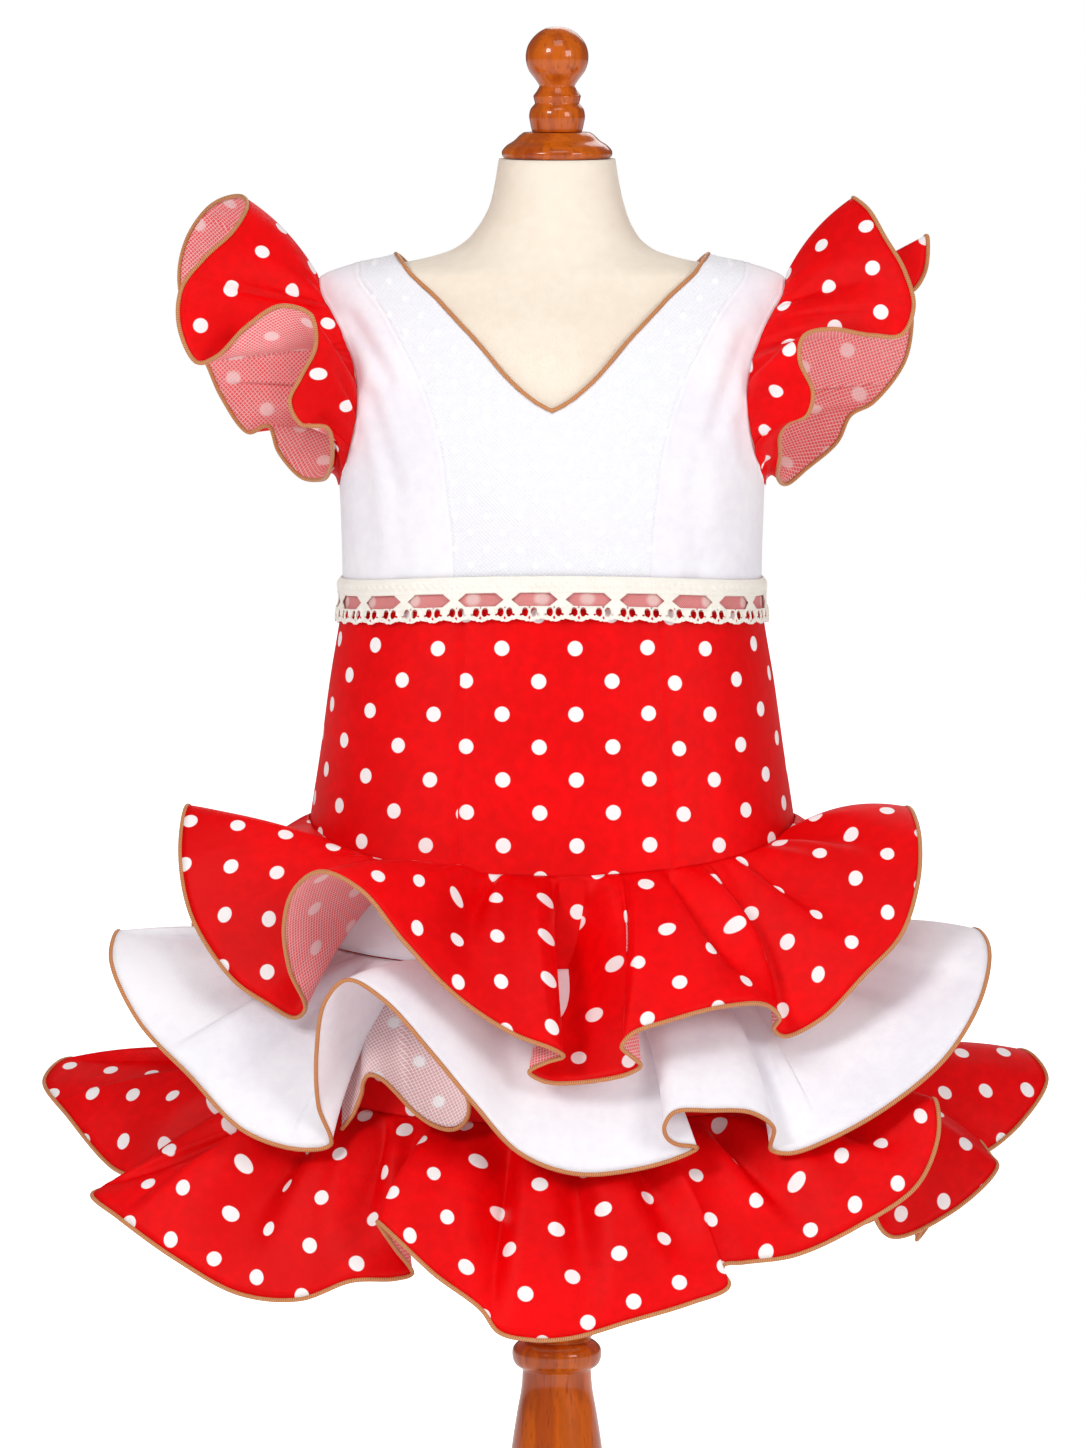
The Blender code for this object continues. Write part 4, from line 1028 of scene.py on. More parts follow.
@dataclass
class TurnedWood:
    """The wooden pieces: profiles of height and radius, carried round the upright axis.

    Attributes:
        profiles: Piece name, CAD node and its rows of z, radius down the outer side.
    """

    around: int = 96
    corner_turn: float = 48.0
    profiles: tuple[tuple[str, str, Rows], ...] = (
        (
            "finial_turning",
            "finial",
            (
                (952.5, 0.0),
                (951.2, 6.5),
                (947.4, 11.9),
                (942.0, 15.5),
                (936.0, 16.5),
                (929.5, 14.9),
                (924.0, 11.0),
                (921.2, 9.2),
                (919.0, 10.4),
                (916.0, 12.6),
                (912.0, 11.6),
                (909.0, 14.0),
                (905.5, 14.7),
                (901.0, 14.0),
                (897.2, 13.2),
                (897.2, 0.0),
            ),
        ),
        (
            "neck_cap_turning",
            "neck_cap",
            (
                (896.9, 0.0),
                (896.9, 17.5),
                (895.6, 19.4),
                (892.6, 22.6),
                (889.4, 27.2),
                (886.6, 29.1),
                (884.2, 28.6),
                (883.3, 27.4),
                (883.3, 0.0),
            ),
        ),
        (
            "column_turning",
            "stand_column",
            (
                (373.7, 0.0),
                (373.7, 24.0),
                (367.7, 24.0),
                (365.7, 14.0),
                (300.0, 14.0),
                (280.0, 15.5),
                (266.0, 19.8),
                (258.5, 21.0),
                (253.0, 17.5),
                (251.6, 20.5),
                (248.5, 23.4),
                (244.5, 23.9),
                (240.0, 22.4),
                (237.0, 18.4),
                (230.0, 18.7),
                (212.0, 21.6),
                (193.0, 24.4),
                (166.0, 27.0),
                (136.0, 25.0),
                (110.0, 19.6),
                (98.0, 17.6),
                (94.0, 22.0),
                (89.0, 24.0),
                (84.0, 22.0),
                (81.0, 18.5),
                (62.0, 22.0),
                (44.0, 32.0),
                (36.3, 36.0),
                (36.3, 0.0),
            ),
        ),
        (
            "base_turning",
            "stand_base",
            (
                (36.0, 0.0),
                (36.0, 44.0),
                (32.0, 52.0),
                (27.0, 66.0),
                (24.0, 120.0),
                (20.0, 137.0),
                (12.0, 145.0),
                (3.0, 146.0),
                (0.0, 143.0),
                (0.0, 0.0),
            ),
        ),
    )

    def outline(self, rows: Rows) -> Array:
        """Smooths a profile between its corners: where it turns sharply, and the ends of a level face."""
        points = np.array(rows)
        steps = np.diff(points, axis=0)
        heading = np.unwrap(np.arctan2(steps[:, 1], steps[:, 0]))
        turn = np.degrees(np.abs(np.diff(heading)))
        level = np.nonzero(steps[:, 0] == 0)[0]
        sharp = np.nonzero(turn > self.corner_turn)[0] + 1
        corners = np.unique(np.concatenate((sharp, level, level + 1, (0, len(points) - 1))))
        parts = []
        for first, last in zip(corners[:-1], corners[1:]):
            part = points[first : last + 1]
            if len(part) > 2:
                run = path_length(part)
                part = smooth_at(run, part, np.linspace(0, run[-1], 6 * len(part)))
            parts.append(part if not parts else part[1:])
        return np.concatenate(parts)

    def build(self, finishes: Finishes) -> None:
        """Each piece's point is its profile's radius times the sine and cosine of the turn."""
        angle = np.linspace(0, 2 * math.pi, self.around, endpoint=False)
        for name, node, rows in self.profiles:
            line = self.outline(rows)[::-1]
            z, radius = line[:, 0], np.maximum(line[:, 1], 0.0)
            points = np.stack(
                np.broadcast_arrays(
                    radius[:, None] * np.sin(angle), -radius[:, None] * np.cos(angle), z[:, None]
                ),
                axis=-1,
            )
            made = surface(name, points, finishes.wood, closed=True)
            weld = made.modifiers.new("closed poles", "WELD")
            weld.merge_threshold = 0.00001
            edge = made.modifiers.new("softened corners", "BEVEL")
            edge.width = 0.0006
            edge.segments = 2
            edge.angle_limit = math.radians(40)
            hand_over(made, (node,))


# The bodice


@dataclass
class Bodice:
    """Seven panels between the neck, princess, side and shoulder seams, and the cord round the neck.

    Attributes:
        neck, back_neck, princess, arm: Rows of across, z on each edge, from the waist to the shoulder seam.
        creases: Rows of across, z, end_across, end_z, width, depth of soft creases, seen from the front.
    """

    shape: FormShape
    waist: float = 648.5
    waist_rise: float = 7.0
    waist_fade: float = 52.0
    seam_gap: float = 0.06
    neck: Rows = (
        (0.0, 648.5),
        (0.0, 690.0),
        (0.0, 711.0),
        (0.0, 732.0),
        (0.0, 752.5),
        (24.4, 772.0),
        (40.8, 789.0),
        (51.8, 800.0),
        (62.0, 810.5),
        (71.5, 819.0),
        (78.8, 825.2),
        (83.0, 827.9),
    )
    back_neck: Rows = (
        (0.0, 648.5),
        (0.0, 690.0),
        (0.0, 711.0),
        (0.0, 732.0),
        (0.0, 752.0),
        (0.0, 771.0),
        (0.0, 787.0),
        (0.0, 797.0),
        (0.0, 804.0),
        (34.0, 807.0),
        (64.0, 815.0),
        (83.0, 827.9),
    )
    princess: Rows = (
        (50.0, 648.5),
        (51.6, 690.0),
        (54.0, 711.0),
        (56.0, 729.0),
        (61.5, 752.0),
        (68.5, 770.0),
        (77.5, 787.0),
        (83.0, 797.0),
        (88.5, 806.0),
        (95.0, 814.0),
        (100.0, 820.5),
        (101.3, 825.3),
    )
    arm: Rows = (
        (108.0, 648.5),
        (108.2, 690.0),
        (108.6, 711.0),
        (104.5, 726.0),
        (100.6, 745.0),
        (99.6, 760.0),
        (101.6, 776.0),
        (105.2, 786.0),
        (109.0, 795.0),
        (114.0, 804.0),
        (118.5, 811.0),
        (121.3, 818.6),
    )
    underarm_row: int = 2
    v_point_row: int = 4
    point_blunt: float = 10.0
    point_drop: float = 8.0
    back_neck_row: int = 8
    cord_radius: float = 1.05
    cord_gap: float = 0.1
    creases: Rows = (
        (-105.0, 801.0, -86.0, 770.0, 4.5, 1.5),
        (-96.0, 762.0, -82.0, 714.0, 4.5, 1.4),
        (-101.0, 742.0, -94.0, 676.0, 5.0, 1.0),
        (-80.0, 728.0, -78.0, 662.0, 6.0, 0.8),
        (-70.0, 716.0, -66.0, 664.0, 5.0, 0.5),
        (101.0, 792.0, 84.0, 742.0, 5.0, 1.4),
        (98.0, 748.0, 103.0, 728.0, 4.0, 1.2),
        (76.0, 726.0, 74.0, 664.0, 6.0, 0.8),
        (96.0, 700.0, 72.0, 662.0, 7.0, 0.7),
    )

    def edge(self, rows: Rows, wanted: Array, nudge: float) -> tuple[Array, Array]:
        """Angle and height along an edge: across and z read smoothly, then turned to an angle on the form."""
        table = np.array(rows)
        place = np.arange(len(table))
        across = smooth_at(place, table[:, 0], wanted) + nudge
        z = smooth_at(place, table[:, 1], wanted)
        if rows is self.neck:
            blunt = 0.85 * (np.hypot(across, self.point_blunt) - np.abs(across))
            blunt = blunt - self.point_drop * np.exp(-((across / 24.0) ** 2))
            z = z + blunt * np.clip(wanted - self.v_point_row + 2, 0, 1)
        z = np.minimum(z, self.shape.shoulder_height(across))
        angle = self.shape.angle_of(across, z)
        angle[wanted == place[-1]] = math.pi / 2 - math.radians(0.12)
        if rows is self.arm:
            angle[wanted <= self.underarm_row] = math.pi / 2 - math.radians(0.08)
        return angle, z

    def crease_depth(self, points: Array) -> Array:
        """How far creases push the cloth in: a bell across each line that fades towards its ends."""
        depth = np.zeros(points.shape[:2])
        for across, z, end_across, end_z, width, most in self.creases:
            start = np.array((across, z))
            way = np.array((end_across, end_z)) - start
            flat = points[..., (0, 2)] - start
            share = (flat @ way) / (way @ way)
            off = np.linalg.norm(flat - np.clip(share, 0, 1)[..., None] * way, axis=-1)
            fade = np.clip(1 - np.abs(share - 0.5), 0, 1) ** 0.5
            beside = np.exp(-(((off - 1.6 * width) / width) ** 2))
            depth += most * fade * (np.exp(-((off / width) ** 2)) - 0.45 * beside)
        return depth * (points[..., 1] < 0)

    def panel(
        self,
        name: str,
        node: str,
        inner: Rows,
        outer: Rows,
        side: Side,
        facing: Facing,
        finish: bpy.types.Material,
        cut: Cut,
        columns: int = 48,
    ) -> None:
        """One panel: rows between two edges, blended by angle and height, dipped along its seams.

        Args:
            name: The piece's name.
            node: The CAD node it stands for.
            inner: The edge nearer the middle.
            outer: The edge nearer the side.
            side: The half it is on.
            facing: Front or back.
            finish: Its cloth.
            cut: Its flat cut. It is not used.
            columns: Points in each row.
        """
        middle = inner is self.neck
        rows = np.unique(np.concatenate((np.linspace(0, 10, 121), np.linspace(10, 11, 25))))
        inner_angle, inner_z = self.edge(inner, rows, 0.0 if middle else self.seam_gap / 2)
        outer_angle, outer_z = self.edge(outer, rows, -self.seam_gap / 2)
        share = 0.5 - 0.5 * np.cos(np.linspace(0, math.pi, columns))
        if middle:
            share = np.sin(np.linspace(0, math.pi / 2, columns))
        angle = inner_angle[:, None] * (1 - share) + outer_angle[:, None] * share
        z = inner_z[:, None] * (1 - share) + outer_z[:, None] * share
        angle = math.pi - angle if facing is Facing.BACK else angle
        fade = np.clip(1 - np.abs(z - self.waist) / self.waist_fade, 0, 1)
        z = z + self.waist_rise * np.cos(angle) ** 2 * fade
        angle = side.value * angle
        rest = self.shape.bodice(angle, z, 0 * z)
        if middle:
            self._front_middle(name, node, rest, rows <= self.v_point_row, finish)
            return
        across = path_length(rest.transpose(1, 0, 2)).T
        width = across[:, -1:]
        near_seam = np.minimum(across, width - across)
        dip = self.crease_depth(rest) - 0.3 * np.exp(-(((near_seam - 1.6) / 1.0) ** 2))
        points = self.shape.bodice(angle, z, -dip)
        uv = np.stack((side.value * (across - width / 2), z - self.waist), axis=-1)
        if side.value * (-1 if facing is Facing.BACK else 1) < 0:
            points = points[:, ::-1]
            uv = uv[:, ::-1]
        made = surface(name, into_place(points), finish, uv)
        add_wall(made, 1.0, -1, None)
        hand_over(made, (node,))

    def _front_middle(
        self, name: str, node: str, right: Array, v_rows: Array, finish: bpy.types.Material
    ) -> None:
        """The front's middle panel: below the V point one sheet, and above it a strap on each side.

        Args:
            name: The piece's name.
            node: The CAD node it stands for.
            right: The right half's rows, from the middle outwards.
            v_rows: Whether each row is below the V point.
            finish: Its cloth.
        """
        right[v_rows, 0, 0] = 0.0
        points = np.concatenate((right[:, ::-1] * np.array((-1.0, 1.0, 1.0)), right), axis=1)
        columns = right.shape[1]
        across = path_length(points.transpose(1, 0, 2)).T
        across -= (across[:, columns - 1 : columns] + across[:, columns : columns + 1]) / 2
        near_seam = across[:, -1:] - np.abs(across)
        tufts = self._tufts(across, points[..., 2])
        lift = 0.12 * tufts + 0.25 * np.exp(-(((near_seam - 1.6) / 1.0) ** 2))
        normal = unit(np.cross(np.gradient(points, axis=1), np.gradient(points, axis=0)))
        normal[:, columns - 1] = normal[:, columns - 2]
        normal[:, columns] = normal[:, columns + 1]
        points = points + normal * lift[..., None]
        points[v_rows, columns - 1] = points[v_rows, columns]
        uv = np.stack((across, points[..., 2] - self.waist), axis=-1)
        keep = np.ones((len(points) - 1, points.shape[1] - 1), bool)
        keep[:, columns - 1] = False
        made = surface(name, into_place(points), finish, uv, keep=keep)
        weld = made.modifiers.new("joined middle", "WELD")
        weld.merge_threshold = 0.00001
        add_wall(made, 1.0, -1, None)
        hand_over(made, (node,))

    @staticmethod
    def _tufts(across: Array, z: Array) -> Array:
        """Small round bumps in rows, every second row moved by half a column."""
        pattern = DottedMuslin().pattern
        column, row_step = pattern.column / MM, pattern.row / MM
        row = (z - 648.5) / row_step + 0.5
        off_row = (row % 1 - 0.5) * row_step
        place = across / column + 0.5 * (np.floor(row) % 2) + 0.5
        off_column = (place % 1 - 0.5) * column
        return np.exp(-((off_row**2 + off_column**2) / 1.7**2))

    def edge_line(self, rows: Rows, first: int, facing: Facing) -> tuple[Array, Array]:
        """Points along the free part of an edge on the right half, and the cloth's outward direction there."""
        last = len(rows) - 1
        angle, z = self.edge(rows, np.linspace(first, last, 18 * (last - first) + 1), 0.0)
        angle[-1] = math.pi / 2
        angle = math.pi - angle if facing is Facing.BACK else angle
        middle = self.shape.bodice(angle, z, 0.2 + 0 * z)
        return middle, self.shape.bodice(angle, z, 1.2 + 0 * z) - middle

    def build_neck_cord(self, finishes: Finishes) -> None:
        """The cord up the V, round the back of the neck and down again, just inside the opening's edge."""
        front, front_out = self.edge_line(self.neck, self.v_point_row, Facing.FRONT)
        back, back_out = self.edge_line(self.back_neck, self.back_neck_row, Facing.BACK)
        right = np.concatenate((front[:-1], back[::-1]))
        out = np.concatenate((front_out[:-1], back_out[::-1]))
        mirror = np.array((-1.0, 1.0, 1.0))
        ring = np.concatenate((right, (right * mirror)[::-1][1:-1]))
        out = np.concatenate((out, (out * mirror)[::-1][1:-1]))
        along = np.roll(ring, -1, axis=0) - np.roll(ring, 1, axis=0)
        inward = unit(np.cross(out, along))
        weights = np.array((1, 2, 3, 4, 3, 2, 1)) / 16
        path = ring + inward * (self.cord_radius + self.cord_gap)
        path = sum(weight * np.roll(path, shift, axis=0) for weight, shift in zip(weights, range(-3, 4)))
        made = tube("neck_cord", path, out, self.cord_radius, finishes.cord)
        hand_over(made, ("neck_piping",))

    def build(self, finishes: Finishes) -> None:
        """Makes the seven panels and the neck cord."""
        self.panel(
            "front_center_panel",
            "bodice_front_center",
            self.neck,
            self.princess,
            Side.RIGHT,
            Facing.FRONT,
            finishes.muslin,
            Cut(0.208, 0.182, area=0.0185),
        )
        side_cut = Cut(0.083, 0.19, area=0.0116)
        back_cut = Cut(0.105, 0.182, area=0.0112)
        table = (
            ("front_side_panel", "bodice_front_side", self.princess, self.arm, Facing.FRONT, side_cut),
            ("back_side_panel", "bodice_back_side", self.princess, self.arm, Facing.BACK, side_cut),
            ("back_panel", "bodice_back", self.back_neck, self.princess, Facing.BACK, back_cut),
        )
        for name, node, inner, outer, facing, cut in table:
            for side in Side:
                letter = side.name[0]
                names = (f"{name}_{letter}", f"{node}_{letter}")
                self.panel(*names, inner, outer, side, facing, finishes.cotton, cut)
        self.build_neck_cord(finishes)


# The hip skirt and the waist band


@dataclass
class SkirtShape:
    """The hip skirt's outer side, from level sections of z, half_width, half_depth."""

    sections: Rows = (
        (372.0, 149.0, 110.0),
        (420.0, 143.0, 104.5),
        (460.0, 138.0, 99.5),
        (500.0, 133.0, 94.0),
        (535.0, 128.4, 89.5),
        (570.0, 123.0, 85.5),
        (610.0, 117.4, 81.5),
        (637.0, 112.8, 78.0),
        (648.0, 111.2, 76.6),
        (672.0, 110.8, 76.0),
    )
    squareness: float = 0.09

    def level(self, angle: Array, z: Array) -> Array:
        """A point on the section, as on the form."""
        table = np.array(self.sections)
        width = smooth_at(table[:, 0], table[:, 1], z)
        depth = smooth_at(table[:, 0], table[:, 2], z)
        x = width * np.sin(angle) * (1 + self.squareness * np.cos(angle) ** 2)
        y = -depth * np.cos(angle) * (1 + self.squareness * np.sin(angle) ** 2)
        return np.stack((x, y, z + 0 * angle), axis=-1)

    def skin(self, angle: Array, z: Array, lift: Array) -> Array:
        """A point moved out by the lift along the normal."""
        angle, z = np.broadcast_arrays(np.asarray(angle, float), np.asarray(z, float))
        round_way = self.level(angle + 0.01, z) - self.level(angle - 0.01, z)
        up_way = self.level(angle, z + 0.4) - self.level(angle, z - 0.4)
        normal = unit(np.cross(round_way, up_way))
        return self.level(angle, z) + normal * np.asarray(lift)[..., None]

    def arc(self, angle: Array, z: Array) -> Array:
        """Length along the section at height z from the front to an angle, measured on a fine polygon."""
        fine = np.linspace(-math.pi, math.pi, 721)
        ring = self.level(fine[:, None], np.atleast_1d(z)[None, :])
        run = path_length(ring)
        run -= run[360]
        found = [np.interp(a, fine, r) for a, r in zip(np.atleast_2d(angle), run.T)]
        return np.array(found)


# Flat cuts of the skirt's gores
BACK_GORE = Cut(0.212, 0.28, area=0.0507)
LEFT_GORE = Cut(0.165, 0.28, area=0.0367)
MIDDLE_GORE = Cut(0.122, 0.28, area=0.0314)
RIGHT_GORE = Cut(0.152, 0.28, area=0.033)


@dataclass
class HipSkirt:
    """Five gored panels of dotted satin.

    Attributes:
        panels: Piece, CAD node, the two seams' angles at the waist and at the lower edge, the seen
            place of a dot, and the flat cut.
    """

    shape: SkirtShape
    top: float = 648.2
    bottom: float = 374.0
    waist_rise: float = 7.0
    waist_fade: float = 52.0
    seam_gap: float = 0.06
    grain_lean: float = 0.5
    panels: tuple[tuple, ...] = (
        ("skirt_back_panel_L", "skirt_back_L", (-180.0, -180.0), (-90.0, -90.0), (-60.0, 600.0), BACK_GORE),
        ("skirt_front_side_panel_L", "skirt_front_side_L", (-90.0, -90.0), (-23.2, -17.5), (-62.0, 623.7), LEFT_GORE),
        ("skirt_front_center_panel", "skirt_front_center", (-23.2, -17.5), (27.7, 24.5), (12.6, 623.7), MIDDLE_GORE),
        ("skirt_front_side_panel_R", "skirt_front_side_R", (27.7, 24.5), (90.0, 90.0), (83.1, 623.7), RIGHT_GORE),
        ("skirt_back_panel_R", "skirt_back_R", (90.0, 90.0), (180.0, 180.0), (60.0, 600.0), BACK_GORE),
    )

    def dot_place(self, seen: tuple[float, float], back: bool) -> tuple[float, float]:
        """The angle and height on the skirt of a dot that the eye sees at a place of the plane y = 0."""
        fine = np.linspace(-math.pi / 2, math.pi / 2, 361)
        ring = self.shape.level(fine, np.full_like(fine, seen[1] - 8.0))
        share = (ring[:, 1] - EYE[1]) / -EYE[1]
        angle = np.interp(seen[0], ring[:, 0] / share, fine)
        z = EYE[2] + (seen[1] - EYE[2]) * np.interp(angle, fine, share)
        return (math.copysign(math.pi, angle) - angle if back else angle), z

    def build(self, finishes: Finishes) -> None:
        """Each panel's rows run level between its seams, and its dots keep to its own grain."""
        down = np.linspace(0, 1, 110)[:, None]
        heights = self.top + (self.bottom - self.top) * down
        gap = math.degrees(self.seam_gap / 2 / 95)
        for name, node, start, end, seen, cut in self.panels:
            columns = 100
            share = 0.5 - 0.5 * np.cos(np.linspace(0, math.pi, columns))[None, :]
            first = start[0] * (1 - down) + start[1] * down + gap
            last = end[0] * (1 - down) + end[1] * down - gap
            angle = np.radians(first * (1 - share) + last * share)
            middle = np.radians((first + last) / 2)
            rise = self.waist_rise * np.cos(angle) ** 2
            rise = rise * np.clip(1 - (self.top - heights) / self.waist_fade, 0, 1)
            z = heights + rise
            rest = self.shape.skin(angle, z, 0 * z)
            across = path_length(rest.transpose(1, 0, 2)).T
            near_seam = np.minimum(across, across[:, -1:] - across)
            dip = 0.5 * np.exp(-((near_seam / 2.0) ** 2))
            slow = 0.5 * np.sin(heights / 31.0 + 2.2 * angle) * np.sin(3.1 * angle + heights / 67.0)
            points = self.shape.skin(angle, z, slow * np.clip(near_seam / 12.0, 0, 1) - dip)
            back = abs(start[0]) > 91 or abs(end[0]) > 91
            dot_angle, dot_z = self.dot_place(seen, back)
            level_rows = heights[:, 0]
            run = self.shape.arc(angle, level_rows)
            drift = self.shape.arc(middle, level_rows)
            anchor_row = int(np.argmin(np.abs(level_rows - dot_z)))
            drift = self.grain_lean * (drift - drift[anchor_row])
            anchor = self.shape.arc(np.array([[dot_angle]]), np.array([dot_z]))[0, 0]
            uv = np.stack((run - drift - anchor, z - dot_z), axis=-1)
            made = surface(name, into_place(points[::-1]), finishes.satin, uv[::-1])
            add_wall(made, 1.0, -1, None)
            hand_over(made, (node,))


@dataclass
class WaistLace:
    """The lace band round the waist with its row of windows and eyelets, and the ribbon behind it.

    Attributes:
        window_narrow, window_wide: The bar beside a window, in repeats, at its middle and its ends.
        eyelets: Rows of shift, height above eyelet_height and size of each hole of a repeated group.
        cords: Rows of height, half width and height of relief of the raised lines.
    """

    shape: SkirtShape
    bottom: float = 638.5
    height: float = 24.0
    lift: float = 1.9
    wall: float = 0.8
    windows: int = 11
    window_low: float = 8.2
    window_high: float = 15.2
    window_narrow: float = 0.07
    window_wide: float = 0.22
    waist_rise: float = 7.0
    turn: float = -6.1
    eyelet_pitch: float = 12.7
    eyelet_half: tuple[float, float] = (1.6, 2.5)
    eyelet_height: float = 5.0
    eyelets: Rows = (
        (-2.3, 0.0, 1.0),
        (2.3, 0.0, 1.0),
        (0.0, -3.0, 0.36),
        (0.0, 2.4, 0.3),
        (-4.6, -1.6, 0.34),
        (4.6, -1.6, 0.34),
    )
    cords: Rows = (
        (7.4, 0.45, 0.3),
        (16.0, 0.45, 0.3),
        (19.0, 0.7, 0.15),
        (21.4, 0.7, 0.15),
        (23.4, 0.5, 0.2),
    )
    scallop: float = 1.3
    top_ease: float = 2.0
    leaf_pitch: float = 4.2
    leaf_line: float = 19.6
    leaf_height: float = 0.45
    cut: Cut = Cut(0.31, 0.024)

    def band(self, angle: Array, height: Array, lift: Array) -> Array:
        """A point of the band: the skirt's skin, raised towards the front and the back as the waist is."""
        angle, height = np.broadcast_arrays(angle, height)
        rise = self.waist_rise * np.cos(angle) ** 2
        raised = np.stack((0 * rise, 0 * rise, rise), axis=-1)
        return self.shape.skin(angle, self.bottom + height, lift) + raised

    def window_warp(self, columns: int, heights: Array) -> tuple[Array, Array]:
        """Spreads a window's columns so that two of them run along its slanted sides.

        In each repeat the first and last share of columns fill the bars, which are narrowest at a window's middle
        height, and the columns between fill the window.

        Args:
            columns: Columns in all the repeats of one half.
            heights: Millimetres above the band's lower edge, one row each.

        Returns:
            Each point's place counted in repeats, and whether each column is inside a window.
        """
        step = np.arange(columns * self.windows + 1)
        place = (step % columns) / columns
        middle = (self.window_low + self.window_high) / 2
        up = np.clip(np.abs(heights - middle) / (self.window_high - middle), 0, 1)
        bar = self.window_narrow + (self.window_wide - self.window_narrow) * up
        wide = round(self.window_wide * columns) / columns
        from_side = np.minimum(place, 1 - place)
        inner = bar + (0.5 - bar) * (from_side - wide) / (0.5 - wide)
        spread = np.where(from_side < wide, from_side / wide * bar, inner)
        spread = np.where(place > 0.5, 1 - spread, spread)
        return step // columns + spread, (place >= wide) & (place + 1 / columns <= 1 - wide + 1e-6)

    def eyelet_ratio(self, across: Array, height: Array, shift: float, up: float, size: float) -> Array:
        """Offsets from the nearest oval's middle, and the distance from it counted in the oval's half sizes."""
        off_across = (across - shift + self.eyelet_pitch / 2) % self.eyelet_pitch - self.eyelet_pitch / 2
        off_up = height - self.eyelet_height - up
        wide, tall = self.eyelet_half
        return np.stack((off_across, off_up, np.hypot(off_across / (wide * size), off_up / (tall * size))))

    def eyelet_holes(self, across: Array, height: Array) -> tuple[Array, Array, Array]:
        """Moves the points near an oval's rim onto it, and marks the points in or on an oval."""
        inside = np.zeros(across.shape, bool)
        for shift, up, size in self.eyelets:
            off_across, off_up, ratio = self.eyelet_ratio(across, height, shift, up, size)
            rim = np.abs(ratio - 1) < 0.24 / (self.eyelet_half[0] * size)
            factor = np.where(rim & (ratio > 0.2), 1 / np.maximum(ratio, 0.2) - 1, 0.0)
            across = across + off_across * factor
            height = height + off_up * factor
            inside |= rim | (ratio < 1)
        return across, height, inside

    def relief(self, across: Array, height: Array) -> Array:
        """Raised work: rims round the ovals, cords along the upper part, and a firm line above the eyelets."""
        relief = np.zeros_like(across)
        for shift, up, size in self.eyelets[:2]:
            ratio = self.eyelet_ratio(across, height, shift, up, size)[2]
            relief += 0.4 * np.exp(-(((ratio - 1.4) / 0.3) ** 2))
        for line, width, most in self.cords:
            relief += most * np.exp(-(((height - line) / width) ** 2))
        leaves = np.abs(np.sin(math.pi * across / self.leaf_pitch + 0.9 * np.sin(height)))
        return relief + self.leaf_height * leaves * np.exp(-(((height - self.leaf_line) / 2.2) ** 2))

    def build_lace(self, finishes: Finishes) -> None:
        """Each half is a fine grid on the band. Faces in a hole go, and the points round it lie on its edge."""
        low = np.linspace(0, self.window_low, 21)
        windows = np.linspace(self.window_low, self.window_high, 13)
        high = np.linspace(self.window_high, self.height, 18)
        heights = np.concatenate((low, windows[1:], high[1:]))[:, None]
        row = np.arange(len(heights) - 1)[:, None]
        place, window = self.window_warp(60, heights)
        for half, start in (("front", -90.0), ("back", 90.0)):
            gap = math.degrees(0.15 / 95)
            reach = math.radians(180.0 - 2 * gap)
            first = math.radians(start + self.turn + gap)
            around = np.linspace(0, 1, 400)
            length = path_length(self.band(first + reach * around, 12.0 + 0 * around, 2.0 + 0 * around))
            run = place / self.windows * length[-1]
            height = heights + 0 * run
            across, height, inside = self.eyelet_holes(run, height)
            across[:, 0] = 0.0
            across[:, -1] = length[-1]
            wave = np.abs(np.sin(math.pi * run / self.eyelet_pitch))
            picot = np.abs(np.sin(4 * math.pi * run / self.eyelet_pitch + 0.6 * np.sin(run)))
            scallop = self.scallop * wave**2 + 0.45 * (1 - picot)
            lifted = height + scallop * np.clip(1 - heights / 5.0, 0, 1)
            angle = first + reach * np.interp(across, length, around)
            ease = self.top_ease * np.clip((heights - 20.5) / 3.5, 0, 1) ** 2
            points = self.band(angle, lifted, self.lift + self.wall - ease + self.relief(across, height))
            hole = inside[:-1, :-1] & inside[1:, 1:] & inside[1:, :-1] & inside[:-1, 1:]
            hole |= window[None, :-1] & (row >= len(low) - 1) & (row < len(low) + len(windows) - 2)
            uv = np.stack((across, height), axis=-1)
            made = surface(f"{half}_lace_band", into_place(points), finishes.lace, uv, keep=~hole)
            add_wall(made, self.wall, -1, None)
            hand_over(made, (f"lace_{half}",))

    def build_ribbon(self, finishes: Finishes) -> None:
        """A flat ring under the windows, with a slight wave where it is drawn behind the bars."""
        columns = 360
        angle = (np.arange(columns) / columns * 2 * math.pi)[None, :]
        height = np.linspace(6.6, 17.0, 12)[:, None]
        cell = math.pi / self.windows
        wave = 0.25 * np.cos((angle - math.radians(self.turn)) * 2 * math.pi / cell)
        points = self.band(angle + 0 * height, height + 0 * angle, 1.0 + wave + 0 * height)
        run = 640 * np.linspace(0, 1, columns + 1)[None, :]
        uv = np.stack(np.broadcast_arrays(run, height), axis=-1)
        made = surface("waist_ribbon", into_place(points), finishes.ribbon, uv, closed=True)
        add_wall(made, 0.3, -1, None)
        hand_over(made, ("ribbon",))

    def build(self, finishes: Finishes) -> None:
        """Makes the lace and its ribbon."""
        self.build_lace(finishes)
        self.build_ribbon(finishes)


# Ruffles


def seen_to_real(across: Array, height: Array, depth_y: Array) -> Array:
    """The real place of what the eye sees at a place of the plane y = 0 and that lies at this depth."""
    plane = np.stack((across, 0 * across, height), axis=-1)
    share = (depth_y - EYE[1]) / -EYE[1]
    return EYE + (plane - EYE) * share[:, None]


